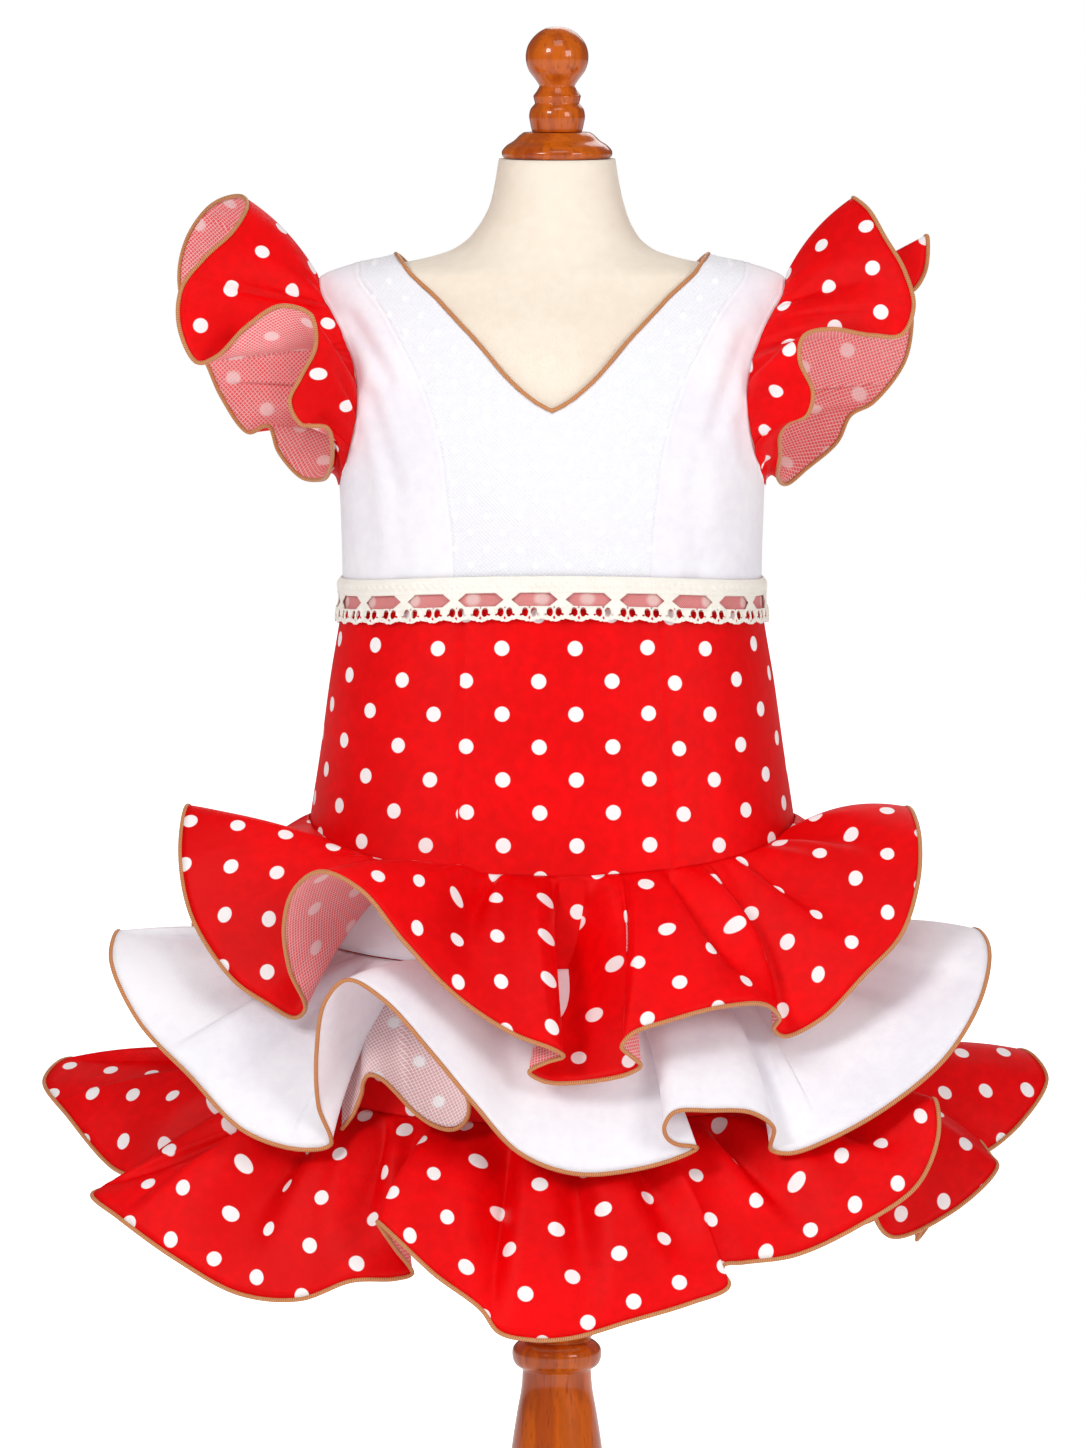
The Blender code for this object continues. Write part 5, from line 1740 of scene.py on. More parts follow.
def through_turns(seam: Array, hem: Array, count: int) -> tuple[Array, Array]:
    """Seam places and hem points, evenly along a smooth closed curve through the turns."""
    seam_step = seam[-1] + (seam[0] - seam[-1]) % (2 * math.pi)
    reach = 3
    lead_in = seam[-reach:] - seam_step + seam[0]
    run_out = seam[:reach] + seam_step - seam[0]
    wrapped_seam = np.concatenate((lead_in, seam, run_out))
    wrapped_hem = np.concatenate((hem[-reach:], hem, hem[:reach]))
    chord = np.sqrt(np.linalg.norm(np.diff(wrapped_hem, axis=0), axis=1))
    knots = np.concatenate(((0.0,), np.cumsum(chord)))
    start, end = knots[reach], knots[reach + len(hem)]
    wanted = start + (end - start) * np.arange(count) / count
    return smooth_at(knots, wrapped_seam, wanted), smooth_at(knots, wrapped_hem, wanted)


def flat_cut(seam: Array, hem: Array, share: Array) -> Array:
    """Lays a ruffle flat: each line from seam to hem turns by the angle between it and the line before.

    Args:
        seam: Points on the seam.
        hem: Points on the hem.
        share: Share of the way from seam to hem of each row.

    Returns:
        Rows by columns, and one more column, of places on the flat cut.
    """
    seam = np.concatenate((seam, seam[:1]))
    hem = np.concatenate((hem, hem[:1]))
    way = unit(hem - seam)
    length = np.linalg.norm(hem - seam, axis=1)
    seam_step = np.diff(seam, axis=0)
    hem_step = np.diff(hem, axis=0)
    along = (seam_step * way[:-1]).sum(axis=1)
    seam_off = np.linalg.norm(seam_step - along[:, None] * way[:-1], axis=1)
    hem_along = (hem_step * way[:-1]).sum(axis=1)
    hem_off = np.linalg.norm(hem_step - hem_along[:, None] * way[:-1], axis=1)
    turn = (hem_off - seam_off) / length[:-1]
    heading = np.concatenate(((0.0,), np.cumsum(turn)))
    down = np.stack((np.sin(heading), -np.cos(heading)), axis=-1)
    beside = np.stack((np.cos(heading), np.sin(heading)), axis=-1)
    steps = along[:, None] * down[:-1] + seam_off[:, None] * beside[:-1]
    start = np.concatenate((np.zeros((1, 2)), np.cumsum(steps, axis=0)))
    return start[None] + share[:, None, None] * (length[:, None] * down)[None]


def fold_rows(seam: Array, hem: Array, depth: float, bow_most: float, share: Array) -> tuple[Array, Array]:
    """Rows from the seam to the hem: straight lines, bowed out where the hem is nearer than the cut's depth.

    Args:
        seam: Points on the seam.
        hem: Points on the hem.
        depth: The cut's depth.
        bow_most: The most that a line bows out.
        share: Share of the way from seam to hem of each row.

    Returns:
        The rows of points and, for each column, the direction in which it bows.
    """
    way = hem - seam
    chord = np.linalg.norm(way, axis=1)
    way = way / chord[:, None]
    bow = np.minimum(np.sqrt(0.375 * chord * np.maximum(depth - chord, 0.0)), bow_most)
    out = seam - seam.mean(axis=0)
    out[:, 2] = 0.5 * np.linalg.norm(out, axis=1)
    out -= (out * way).sum(axis=1)[:, None] * way
    out = unit(out)
    share = share[:, None, None]
    return seam + share * (hem - seam) + 4 * share * (1 - share) * (bow[:, None] * out), out


@dataclass(frozen=True)
class RuffleCloth:
    """The materials and handover facts of one ruffle."""

    outside: bpy.types.Material
    inside: bpy.types.Material
    finish_slot: str
    cut: Cut
    rests_on: str


@dataclass
class RuffleMaker:
    """Makes a ruffle and the cord on its hem from its seam and hem lines."""

    cord: bpy.types.Material
    rows: int = 30
    cord_radius: float = 1.15
    cord_gap: float = -0.5
    wall: float = 0.8

    @staticmethod
    def crease_depth(degrees: Array, share: Array, creases: Rows) -> Array:
        """How far creases push the cloth in: a bell across a line from seam to hem, deepest at its own share.

        Args:
            degrees: Each column's place on the seam, in degrees.
            share: Each row's share of the way from seam to hem.
            creases: Rows of seam_deg, end_deg, from, to, width_deg, depth.

        Returns:
            Rows by columns of depth, negative beside a crease, where the cloth stands out.
        """
        total = np.zeros((len(share), len(degrees)))
        down = share[:, None]
        for seam_deg, end_deg, start, end, width, depth in creases:
            line = seam_deg + (end_deg - seam_deg) * down
            off = (degrees[None, :] - line + 180) % 360 - 180
            reach = np.clip((down - start) / (end - start), 0, 1)
            fade = np.sin(math.pi * reach**0.7) if end < 1.05 else np.sin(math.pi / 2 * reach**0.7)
            bell = np.exp(-((off / width) ** 2)) - 0.35 * np.exp(-(((np.abs(off) - 1.9 * width) / width) ** 2))
            total += depth * fade * bell
        return total

    def build(
        self,
        names: tuple[str, str],
        nodes: tuple[str, str],
        lines: tuple[Array, Array, Array],
        depth: float,
        bow_most: float,
        puckers: tuple[float, float],
        creases: Rows,
        cloth: RuffleCloth,
        first: int,
    ) -> None:
        """Rows of points from seam to hem, puckered near the seam, with the cord just past the hem.

        Args:
            names: The ruffle's and the cord's names.
            nodes: The CAD nodes they stand for.
            lines: Seam points, hem points, and places on the seam in degrees.
            depth: The cut's depth.
            bow_most: The most that the cloth bows out.
            puckers: Their count and height.
            creases: Single creases, as crease_depth takes them.
            cloth: The ruffle's materials and cut.
            first: The column at which the flat cut starts.
        """
        seam, hem, degrees = (np.roll(line, -first, axis=0) for line in lines)
        share = np.linspace(0, 1, self.rows) ** 1.15
        points, out = fold_rows(seam, hem, depth, bow_most, share)
        around = np.arange(len(seam)) / len(seam)
        count, height = puckers
        gather = height * wobble(around, count, len(names[0]))[None, :]
        gather = gather * (np.exp(-share / 0.2) * (1 - np.exp(-share / 0.02)))[:, None]
        gather = gather - self.crease_depth(degrees, share, creases)
        points = points + gather[..., None] * out[None]
        flat = flat_cut(seam, hem, share)
        made = surface(names[0], into_place(points[::-1]), cloth.outside, flat[::-1], closed=True)
        add_wall(made, self.wall, 0, cloth.inside)
        hand_over(made, (nodes[0],))
        along = unit(np.roll(hem, -1, axis=0) - np.roll(hem, 1, axis=0))
        way = points[-1] - points[-2]
        way = unit(way - (way * along).sum(axis=1, keepdims=True) * along)
        path = points[-1] + way * (self.cord_radius + self.cord_gap)
        cord = tube(names[1], path, way, self.cord_radius, self.cord)
        hand_over(cord, (nodes[1],))


# Hem turns seen from the front, from the left side to the right: seam_deg, across, height, depth_y
TIER1_TURNS = (
    (-94, -185, 471, 14),
    (-86, -180, 488, -2),
    (-76, -177, 507, -14),
    (-68, -180, 513, -20),
    (-60, -185, 524, -26),
    (-52, -193, 540, -45),
    (-48, -197, 515, -66),
    (-44, -191, 481, -82),
    (-40, -169, 447, -98),
    (-36.5, -152, 435, -104),
    (-33, -137, 427, -104),
    (-31, -131, 432, -108),
    (-28, -139, 452, -118),
    (-25, -142, 476, -130),
    (-22, -136, 496, -144),
    (-19, -122, 505, -154),
    (-16, -101, 495, -160),
    (-13, -78, 467, -162),
    (-9.5, -50, 438, -162),
    (-6, -20, 418, -164),
    (-2.5, 0, 410, -164),
    (-0.5, 6, 406, -160),
    (1, -3, 403, -156),
    (2.5, -12, 398, -153),
    (5, -3, 393, -152),
    (8, 20, 393, -152),
    (11, 41, 397, -153),
    (12.5, 47, 401, -155),
    (13.8, 42, 406, -159),
    (15.4, 37, 411, -163),
    (18, 42, 418, -163),
    (23, 64, 426, -159),
    (28, 91, 433, -150),
    (32, 113, 434, -139),
    (34.5, 121, 427, -130),
    (36, 118, 421, -122),
    (38, 124, 417, -117),
    (42, 144, 427, -120),
    (47, 166, 450, -118),
    (52, 185, 471, -108),
    (58, 194, 500, -92),
    (64, 194, 527, -68),
    (70, 187, 539, -38),
    (78, 176, 512, -20),
    (86, 180, 488, -2),
    (94, 185, 470, 14),
)
TIER2_TURNS = (
    (-104, -202, 430, 56),
    (-92, -220, 444, 26),
    (-84, -212, 438, 10),
    (-75, -213, 442, -12),
    (-66, -222, 458, -28),
    (-58, -230, 473, -42),
    (-53, -234, 457, -62),
    (-48, -219, 424, -80),
    (-43, -193, 396, -96),
    (-38, -164, 366, -110),
    (-34, -134, 356, -114),
    (-30.5, -118, 359, -115),
    (-28, -124, 379, -122),
    (-25, -125, 409, -136),
    (-22, -120, 436, -150),
    (-19, -108, 447, -158),
    (-16, -89, 436, -162),
    (-12.5, -64, 408, -162),
    (-9, -41, 380, -158),
    (-5, -17, 354, -150),
    (0, 12, 343, -145),
    (5, 43, 345, -142),
    (9, 68, 352, -141),
    (12, 77, 357, -142),
    (13.7, 66, 359, -146),
    (15.2, 61, 363, -150),
    (17.2, 60, 369, -153),
    (19.2, 65, 376, -154),
    (23, 85, 377, -150),
    (28, 106, 376, -145),
    (31.5, 118, 368, -137),
    (34, 117, 356, -126),
    (37, 127, 354, -126),
    (41, 149, 362, -127),
    (46, 180, 380, -125),
    (52, 209, 405, -116),
    (58, 227, 435, -100),
    (64, 232, 463, -72),
    (70, 223, 474, -40),
    (80, 206, 448, -4),
    (91, 214, 444, 24),
    (104, 198, 430, 56),
)
TIER3_TURNS = (
    (-96, -253, 404, 52),
    (-90, -270, 393, 28),
    (-82, -257, 373, 0),
    (-74, -234, 346, -25),
    (-67, -215, 338, -46),
    (-61, -232, 336, -62),
    (-56, -245, 331, -80),
    (-52, -231, 319, -97),
    (-46, -201, 297, -114),
    (-41, -167, 278, -126),
    (-36, -135, 275, -134),
    (-31, -107, 285, -140),
    (-28, -84, 286, -138),
    (-25.5, -75, 289, -134),
    (-23, -84, 303, -144),
    (-20.5, -93, 317, -152),
    (-18, -83, 308, -162),
    (-14.5, -62, 288, -166),
    (-10, -38, 270, -170),
    (-6.5, -28, 257, -174),
    (-3, -12, 253, -175),
    (1, 10, 254, -174),
    (7, 41, 263, -170),
    (13, 74, 273, -163),
    (16.5, 94, 282, -154),
    (19, 91, 293, -148),
    (22, 103, 295, -142),
    (28, 130, 299, -142),
    (35, 164, 315, -142),
    (42, 194, 336, -136),
    (48, 205, 361, -126),
    (51.5, 205, 378, -118),
    (53.8, 202, 383, -110),
    (58, 188, 366, -96),
    (62, 171, 328, -86),
    (66, 181, 309, -78),
    (70, 214, 323, -66),
    (75, 237, 346, -48),
    (77, 233, 353, -36),
    (79, 228, 360, -26),
    (83, 231, 355, -10),
    (88, 250, 371, 8),
    (93, 263, 395, 30),
    (97, 247, 409, 48),
)

# Turns of the sleeve hems: round_armhole (0 shoulder, 1 underarm, 2 shoulder again by the back),
# across, height, depth_y
SLEEVE_LEFT_TURNS = (
    (0.00, -164, 863, 8),
    (0.05, -160, 858, -8),
    (0.10, -168, 844, -26),
    (0.16, -183, 830, -38),
    (0.22, -195, 814, -46),
    (0.28, -196, 794, -48),
    (0.33, -187, 776, -54),
    (0.37, -176, 779, -60),
    (0.42, -161, 794, -65),
    (0.48, -143, 805, -70),
    (0.54, -127, 800, -72),
    (0.60, -124, 785, -68),
    (0.66, -132, 768, -60),
    (0.72, -138, 755, -58),
    (0.78, -132, 743, -56),
    (0.85, -119, 741, -52),
    (0.93, -116, 730, -38),
    (1.00, -118, 717, -16),
    (1.06, -123, 714, 4),
    (1.12, -133, 716, 20),
    (1.18, -144, 729, 28),
    (1.24, -149, 742, 31),
    (1.30, -160, 739, 38),
    (1.40, -174, 758, 46),
    (1.50, -181, 774, 50),
    (1.60, -190, 793, 52),
    (1.70, -196, 819, 48),
    (1.80, -192, 840, 40),
    (1.90, -179, 858, 26),
)
SLEEVE_RIGHT_TURNS = (
    (0.00, 158, 862, 0),
    (0.06, 166, 856, -14),
    (0.12, 175, 841, -28),
    (0.18, 185, 824, -40),
    (0.24, 190, 805, -48),
    (0.30, 184, 791, -50),
    (0.36, 167, 790, -52),
    (0.43, 146, 793, -58),
    (0.49, 132, 789, -62),
    (0.55, 130, 777, -62),
    (0.62, 137, 760, -56),
    (0.68, 134, 748, -52),
    (0.75, 125, 744, -47),
    (0.82, 120, 738, -39),
    (0.92, 120, 727, -25),
    (1.00, 119, 715, -4),
    (1.07, 124, 712, 10),
    (1.14, 134, 720, 20),
    (1.22, 150, 734, 30),
    (1.30, 157, 748, 36),
    (1.38, 169, 755, 42),
    (1.47, 185, 776, 48),
    (1.56, 189, 795, 50),
    (1.63, 188, 818, 50),
    (1.69, 194, 838, 44),
    (1.74, 197, 842, 36),
    (1.79, 196, 824, 30),
    (1.84, 189, 814, 26),
    (1.88, 180, 824, 20),
    (1.93, 170, 848, 12),
)


@dataclass
class HemTiers:
    """The three hem ruffles.

    Attributes:
        tiers: Rows of name, seam_side_z, front_dip, back_dip, depth, back_folds, back_lean, back_sway,
            side_tuck.
        turns: For each ruffle, rows of seam_deg, across, height, depth_y, seen from the front.
    """

    shape: SkirtShape
    columns: int = 1000
    bow_most: float = 7.0
    dip_power: float = 1.3
    back_swing: float = 5.0
    back_reach: float = 0.92
    steps_per_fold: int = 4
    seam_lift: float = 0.6
    tiers: tuple[tuple[str, float, float, float, float, int, float, float, float], ...] = (
        ("tier1", 535.0, 21.0, 8.0, 108.0, 5, 50.0, 12.0, 17.0),
        ("tier2", 478.0, 12.0, 5.0, 112.0, 5, 48.0, 12.0, 0.0),
        ("tier3", 402.0, 16.0, 6.0, 124.0, 5, 37.0, 12.0, 0.0),
    )
    turns: dict[str, Rows] = field(
        default_factory=lambda: {"tier1": TIER1_TURNS, "tier2": TIER2_TURNS, "tier3": TIER3_TURNS}
    )
    creases: dict[str, Rows] = field(
        default_factory=lambda: {
            "tier1": (
                (-12.5, -9.5, 0.0, 0.85, 1.6, 9.0),
                (-34, -39, 0.0, 0.9, 2.2, 5.0),
                (-60, -54, 0.0, 0.9, 2.6, 5.0),
                (4.5, 6.0, 0.0, 1.04, 4.0, 22.0),
                (26.0, 33.0, 0.0, 1.0, 2.2, 12.0),
                (47.0, 50.0, 0.0, 0.9, 2.6, 7.0),
                (62.0, 60.0, 0.0, 0.8, 2.2, 5.0),
            ),
            "tier2": (
                (-47, -52, 0.05, 0.9, 2.6, 4.0),
                (-62, -64, 0.05, 0.9, 2.6, 4.0),
                (-8, -7, 0.1, 0.95, 2.4, 5.0),
                (41, 46, 0.05, 0.95, 2.8, 5.0),
                (54, 58, 0.1, 0.9, 2.4, 4.0),
            ),
            "tier3": (
                (-72, -69, 0.05, 0.95, 2.8, 10.0),
                (-58, -56, 0.05, 0.95, 2.4, 7.0),
                (-46, -43, 0.05, 0.95, 2.6, 10.0),
                (-33, -30, 0.05, 0.9, 2.0, 9.0),
                (-8, -9, 0.05, 1.04, 2.4, 12.0),
                (3, 3, 0.05, 0.95, 2.0, 8.0),
                (13, 14, 0.05, 0.9, 2.0, 9.0),
                (30, 31, 0.05, 0.95, 2.4, 10.0),
                (44, 46, 0.05, 0.9, 2.4, 9.0),
                (58, 60, 0.05, 0.9, 2.2, 7.0),
            ),
        }
    )

    def seam(self, tier: tuple, angle: Array) -> Array:
        """The seam on the skirt: level at the side, lower at the front and a little at the back."""
        side_z, front_dip, back_dip = tier[1:4]
        z = side_z - front_dip * np.maximum(np.cos(angle), 0) ** self.dip_power
        z = z - back_dip * np.maximum(-np.cos(angle), 0) ** self.dip_power
        return self.shape.skin(angle, z, self.seam_lift + 0 * z)

    def back_turns(self, tier: tuple, first: float, last: float) -> tuple[Array, Array]:
        """Turns of the back folds: the cloth's lean from hanging straight follows a sine round the back."""
        depth, folds, lean_middle, sway, side_tuck = tier[4:]
        count = folds * self.steps_per_fold
        share = (np.arange(count) + 0.5) / count
        angle = first + (last - first) * share
        phase = 2 * math.pi * (share * folds - 0.25)
        tuck = side_tuck * (np.exp(-((share / 0.13) ** 2)) + np.exp(-(((1 - share) / 0.13) ** 2)))
        lean = np.radians(lean_middle + sway * np.sin(phase) - tuck)
        heading = angle + math.radians(self.back_swing) * np.cos(phase)
        out = np.stack((np.sin(heading), -np.cos(heading), 0 * heading), axis=-1)
        hem = self.seam(tier, angle) + depth * self.back_reach * np.sin(lean)[:, None] * out
        hem[:, 2] -= depth * self.back_reach * np.cos(lean)
        return angle, hem

    def lines(self, tier: tuple) -> tuple[Array, Array, Array]:
        """Seam points, hem points and seam degrees of one ruffle."""
        table = np.array(self.turns[tier[0]], float)
        angle = np.radians(table[:, 0])
        hem = seen_to_real(table[:, 1], table[:, 2], table[:, 3])
        behind, behind_hem = self.back_turns(tier, angle[-1], angle[0] + 2 * math.pi)
        angle = np.concatenate((angle, behind))
        angle, hem = through_turns(angle, np.concatenate((hem, behind_hem)), self.columns)
        return self.seam(tier, angle), hem, np.degrees(angle)

    def build(self, finishes: Finishes) -> None:
        """Makes each ruffle with its hem cord, its flat cut starting at the middle of the back."""
        maker = RuffleMaker(finishes.cord)
        red = (finishes.satin, finishes.lining, "red_satin")
        white = (finishes.cotton, finishes.cotton, "white_cotton")
        cuts = {
            "tier1": (red, Cut(1.71, 0.108, "gathered", 0.132), 60),
            "tier2": (white, Cut(1.79, 0.112, "gathered", 0.145), 64),
            "tier3": (red, Cut(2.05, 0.124, "gathered", 0.178), 70),
        }
        for tier in self.tiers:
            name = tier[0]
            (outside, inside, finish_slot), cut, count = cuts[name]
            seam, hem, degrees = self.lines(tier)
            first = int(np.argmax(seam[:, 1] - 0.2 * np.abs(seam[:, 0])))
            maker.build(
                (f"{name}_cloth", f"{name}_cord"),
                (f"{name}_ruffle", f"{name}_piping"),
                (seam, hem, degrees),
                tier[4],
                self.bow_most,
                (count, 0.9),
                self.creases[name],
                RuffleCloth(outside, inside, finish_slot, cut, "skirt_front_center_panel"),
                first,
            )


@dataclass
class InnerNetFold:
    """The fold of sheer net that shows inside the middle ruffle's left loop, with a cord on its own hem.

    Attributes:
        turns: Rows of seam_deg, across, height, depth_y, seen from the front.
    """

    tiers: HemTiers
    turns: Rows = (
        (-45.0, -112.0, 368.0, -104),
        (-43.5, -106.0, 376.0, -108),
        (-42.0, -101.8, 386.4, -112),
        (-40.5, -100.7, 392.8, -116),
        (-39.0, -98.1, 396.6, -119),
        (-37.5, -93.3, 396.1, -121),
        (-36.0, -88.5, 392.8, -122),
        (-34.5, -83.2, 387.4, -123),
        (-33.0, -76.8, 380.4, -124),
        (-31.5, -70.4, 374.5, -125),
        (-30.0, -62.9, 369.7, -126),
        (-28.5, -54.9, 367.5, -127),
        (-27.0, -48.5, 369.7, -128),
        (-26.0, -44.8, 376.1, -129),
        (-25.0, -45.3, 384.8, -131),
        (-24.0, -49.6, 395.5, -134),
        (-23.0, -56.5, 409.0, -138),
    )
    cut: Cut = Cut(0.1, 0.061, "gathered", 0.0061)
    band_reach: tuple[float, float] = (-62.0, -8.0)
    band_bow: float = 4.0
    band_cut: Cut = Cut(0.105, 0.055, "stretched", 0.00577)
    rests_on: str = "skirt_front_side_panel_L"

    def build(self, finishes: Finishes) -> None:
        """Straight lines from just under the middle ruffle's seam to the hem, with a cord past the hem."""
        table = np.array(self.turns, float)
        wanted = np.linspace(0, len(table) - 1, 150)
        smooth = smooth_at(np.arange(len(table)), table, wanted)
        hem = seen_to_real(smooth[:, 1], smooth[:, 2], smooth[:, 3])
        seam = self.tiers.seam(self.tiers.tiers[1], np.radians(smooth[:, 0])) - np.array((0.0, 0.0, 1.5))
        share = np.linspace(0, 1, 30)
        points, _ = fold_rows(seam, hem, 92.0, 2.0, share)
        flat = flat_cut(seam, hem, share)[:, :-1]
        made = surface("inner_net_fold", into_place(points[::-1]), finishes.net, flat[::-1])
        add_wall(made, 0.4, 0, None)
        hand_over(made, ())
        way = unit(points[-1] - points[-2])
        cord = tube("inner_fold_cord", hem + 1.5 * way, way, 1.15, finishes.cord, closed=False)
        hand_over(cord, ())
        self.build_band(finishes)

    def build_band(self, finishes: Finishes) -> None:
        """The white strip between the two upper seams, seen through the upper ruffle's left loop."""
        upper, middle = self.tiers.tiers[:2]
        angle = np.radians(np.linspace(*self.band_reach, 120))
        top = self.tiers.seam(upper, angle) - np.array((0.0, 0.0, 2.0))
        low = self.tiers.seam(middle, angle) + np.array((0.0, 0.0, 1.0))
        share = np.linspace(0, 1, 12)[:, None, None]
        out = np.stack((np.sin(angle), -np.cos(angle), 0 * angle), axis=-1)
        points = top + (low - top) * share + self.band_bow * np.sin(math.pi * share) * out + 0.6 * out
        across = path_length(low)[None, :] + 0 * share[..., 0]
        down = np.linalg.norm(low - top, axis=-1)[None, :] * share[..., 0]
        uv = np.stack((across, -down), axis=-1)
        made = surface("inner_white_band", into_place(points[::-1]), finishes.cotton, uv[::-1])
        add_wall(made, 0.4, 0, None)
        hand_over(made, ())


@dataclass
class SleeveRuffles:
    """The two sleeve ruffles round the armholes.

    Attributes:
        turns: For each side, rows of round_armhole, across, height, depth_y: 0 is the shoulder, 1 the underarm.
    """

    bodice: Bodice
    columns: int = 460
    depth: float = 78.0
    bow_most: float = 4.0
    cut: Cut = Cut(0.55, 0.078, "gathered", 0.026)
    turns: dict[Side, Rows] = field(
        default_factory=lambda: {Side.LEFT: SLEEVE_LEFT_TURNS, Side.RIGHT: SLEEVE_RIGHT_TURNS}
    )
    creases: Rows = (
        (30, 34, 0.0, 0.95, 5.0, 3.0),
        (62, 58, 0.0, 0.95, 5.0, 3.0),
        (84, 86, 0.0, 0.7, 3.5, 2.5),
        (104, 108, 0.0, 0.8, 4.5, 3.0),
        (128, 130, 0.0, 0.7, 3.5, 2.5),
        (150, 154, 0.0, 0.8, 4.5, 2.5),
        (250, 246, 0.0, 0.9, 6.0, 3.0),
        (310, 306, 0.0, 0.9, 6.0, 3.0),
    )

    def armhole(self, side: Side, places: Array) -> Array:
        """Points round an armhole, evenly by length from the shoulder to the underarm and back up."""
        rows = self.bodice.arm
        last = len(rows) - 1
        first = self.bodice.underarm_row
        angle, z = self.bodice.edge(rows, np.linspace(first, last, 12 * (last - first) + 1), 0.0)
        front = self.bodice.shape.bodice(angle[::-1], z[::-1], 0.7 + 0 * z)
        back = self.bodice.shape.bodice(math.pi - angle[1:], z[1:], 0.7 + 0 * z[1:])
        ring = np.concatenate((front, back))
        length = path_length(ring)
        middle = length[len(front) - 1]
        round_place = np.where(length < middle, length / middle, 1 + (length - middle) / (length[-1] - middle))
        ring[:, 0] *= side.value
        return smooth_at(round_place, ring, places % 2.0)

    def build(self, finishes: Finishes) -> None:
        """Makes each sleeve ruffle with its hem cord."""
        maker = RuffleMaker(finishes.cord, rows=26)
        for side, rows in self.turns.items():
            letter = side.name[0]
            table = np.array(rows, float)
            hem = seen_to_real(table[:, 1], table[:, 2], table[:, 3])
            place, hem = through_turns(table[:, 0] * math.pi, hem, self.columns)
            seam = self.armhole(side, place / math.pi)
            if side is Side.RIGHT:
                seam, hem, place = seam[::-1], hem[::-1], place[::-1]
            first = int(np.argmin(seam[:, 2]))
            held_by = f"front_side_panel_{letter}"
            cloth = RuffleCloth(finishes.satin, finishes.lining, "red_satin", self.cut, held_by)
            maker.build(
                (f"sleeve_cloth_{letter}", f"sleeve_cord_{letter}"),
                (f"sleeve_ruffle_{letter}", f"sleeve_piping_{letter}"),
                (seam, hem, 180 * place / math.pi),
                self.depth,
                self.bow_most,
                (26, 0.9),
                self.creases,
                cloth,
                first,
            )


# The zip, the light and the camera


@dataclass
class ZipMetal:
    """The zip's slider and pull tab, which keep their solids and get their enamel."""

    nodes: tuple[str, ...] = ("zip_slider", "zip_pull")

    def dress(self, frame: dict, finishes: Finishes) -> None:
        """Puts the enamel on each node."""
        for name in self.nodes:
            node = frame["nodes"][name]
            for slot in node.material_slots:
                slot.material = finishes.enamel
            log.info("%s keeps its solid", name)


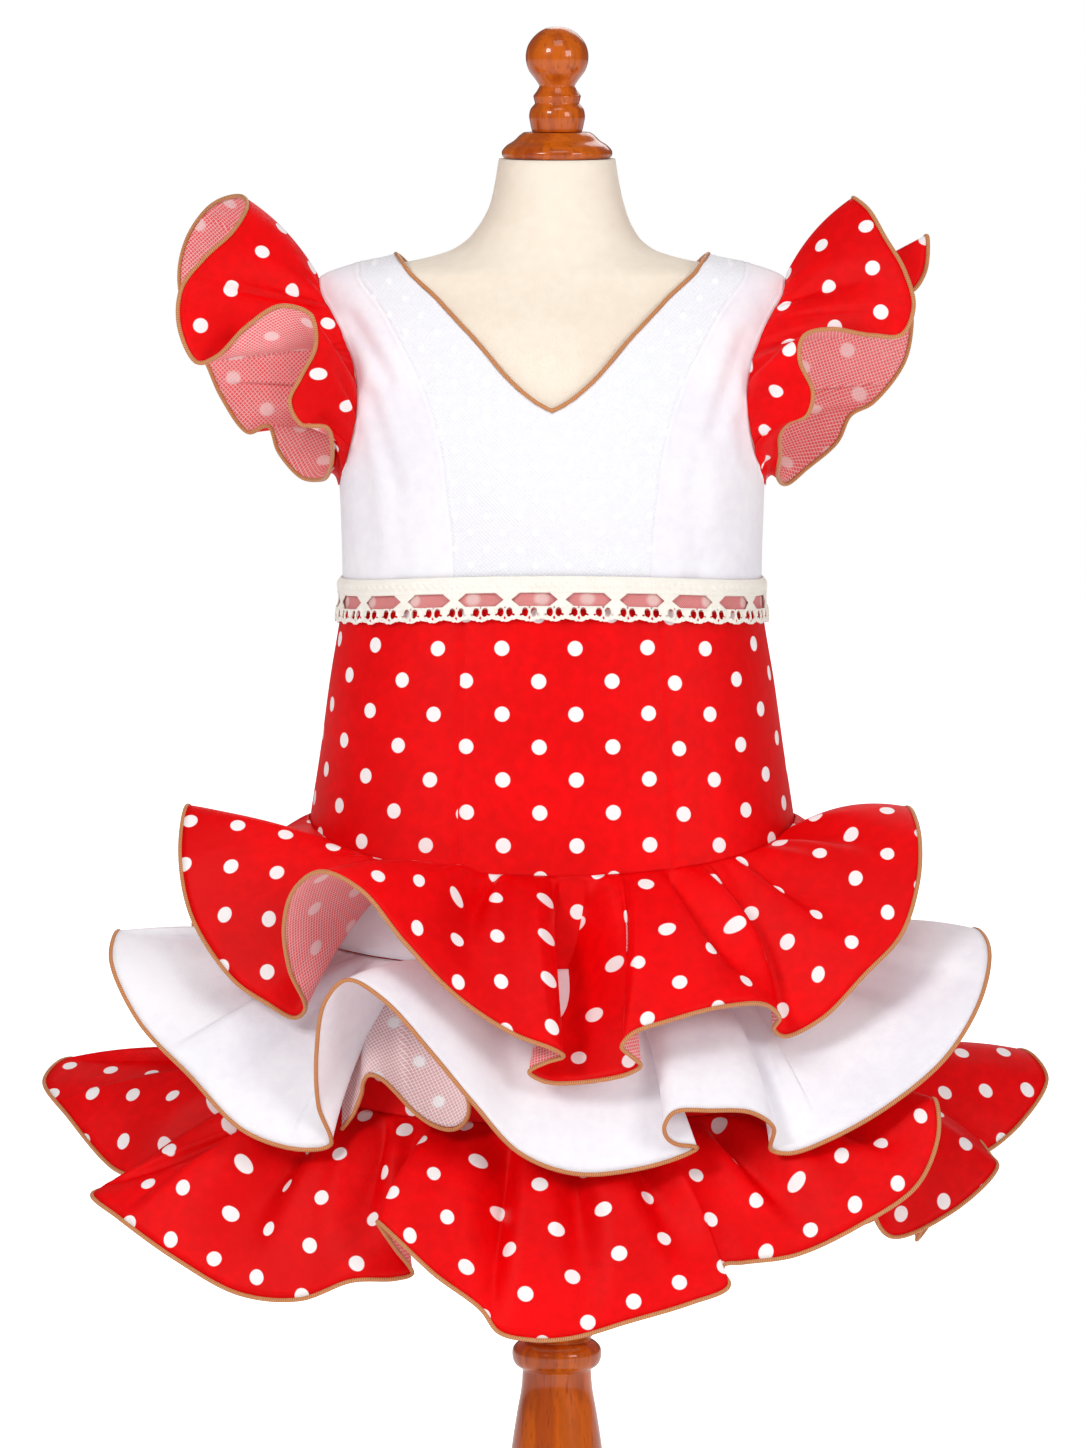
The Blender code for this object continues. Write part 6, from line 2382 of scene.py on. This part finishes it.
@dataclass
class Studio:
    """A white floor, a white surround and soft lights, with the camera in front.

    Attributes:
        lights: Rows of x, y, z, size, power of each soft light, aimed at the dress.
    """

    lights: Rows = (
        (-2.2, -3.2, 2.7, 1.1, 68.0),
        (2.6, -2.8, 1.8, 1.4, 43.0),
        (0.2, -1.6, 3.6, 1.4, 16.0),
        (0.6, 3.2, 2.8, 2.2, 30.0),
    )
    target: tuple[float, float, float] = (-0.0074, 0.0, 0.5837)
    eye: tuple[float, float, float] = (-0.0026, -4.2, 1.037)
    lens: float = 198.0
    world_light: float = 0.34
    mirrored_light: float = 0.1
    floor_light: float = 0.3

    def build_floor(self) -> None:
        """A wide pale floor that nearly glows, so that it meets the surround without a line."""
        made = bpy.data.materials.new("pale_floor")
        made.use_nodes = True
        shader = made.node_tree.nodes["Principled BSDF"]
        shader.inputs["Base Color"].default_value = (0.86, 0.86, 0.86, 1.0)
        shader.inputs["Roughness"].default_value = 0.9
        shader.inputs["Emission Color"].default_value = (1.0, 1.0, 1.0, 1.0)
        wiring = Wiring(made.node_tree)
        seen = wiring.node("ShaderNodeLightPath").outputs["Is Camera Ray"]
        glow = wiring.math("MULTIPLY_ADD", seen, 1.0 - self.floor_light, self.floor_light)
        wiring.put(shader.inputs["Emission Strength"], glow)
        half = 7.0
        corners = [(-half, -half, 0.0), (half, -half, 0.0), (half, half, 0.0), (-half, half, 0.0)]
        mesh = bpy.data.meshes.new("floor")
        mesh.from_pydata(corners, [], [(0, 1, 2, 3)])
        mesh.materials.append(made)
        floor = bpy.data.objects.new("floor", mesh)
        bpy.context.scene.collection.objects.link(floor)

    def build_world(self) -> None:
        """White all round: full white where the eye sees it, and softer where it lights the dress."""
        world = bpy.data.worlds.new("surround")
        bpy.context.scene.world = world
        world.use_nodes = True
        tree = world.node_tree
        background = tree.nodes["Background"]
        background.inputs["Color"].default_value = (1.0, 1.0, 1.0, 1.0)
        wiring = Wiring(tree)
        ray = wiring.node("ShaderNodeLightPath").outputs
        less = self.mirrored_light - self.world_light
        soft = wiring.math("MULTIPLY_ADD", ray["Is Glossy Ray"], less, self.world_light)
        wiring.put(background.inputs["Strength"], wiring.math("MAXIMUM", soft, ray["Is Camera Ray"]))

    def build(self) -> None:
        """Makes the floor, the surround, the lights and the camera."""
        scene = bpy.context.scene
        scene.view_settings.view_transform = "Standard"
        self.build_floor()
        self.build_world()
        target = Vector(self.target)
        for number, (x, y, z, size, power) in enumerate(self.lights):
            lamp = bpy.data.lights.new(f"soft_light_{number}", "AREA")
            lamp.shape = "SQUARE"
            lamp.size = size
            lamp.energy = power
            made = bpy.data.objects.new(lamp.name, lamp)
            made.location = (x, y, z)
            made.rotation_euler = (target - made.location).to_track_quat("-Z", "Y").to_euler()
            scene.collection.objects.link(made)
        camera = bpy.data.cameras.new("front_camera")
        camera.sensor_fit = "VERTICAL"
        camera.sensor_height = 36.0
        camera.lens = self.lens
        made = bpy.data.objects.new("front_camera", camera)
        made.location = self.eye
        made.rotation_euler = (target - made.location).to_track_quat("-Z", "Y").to_euler()
        scene.collection.objects.link(made)
        scene.camera = made


def main() -> None:
    """Loads the frame and builds the form, the stand, the dress and the studio in order."""
    logging.basicConfig(level=logging.INFO, format="%(name)s: %(message)s")
    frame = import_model()
    finishes = Finishes()
    form = FormShape()
    skirt = SkirtShape()
    bodice = Bodice(form)
    DressForm(form).build(finishes)
    TurnedWood().build(finishes)
    bodice.build(finishes)
    HipSkirt(skirt).build(finishes)
    WaistLace(skirt).build(finishes)
    tiers = HemTiers(skirt)
    tiers.build(finishes)
    InnerNetFold(tiers).build(finishes)
    SleeveRuffles(bodice).build(finishes)
    ZipMetal().dress(frame, finishes)
    Studio().build()


if __name__ == "__main__":
    main()
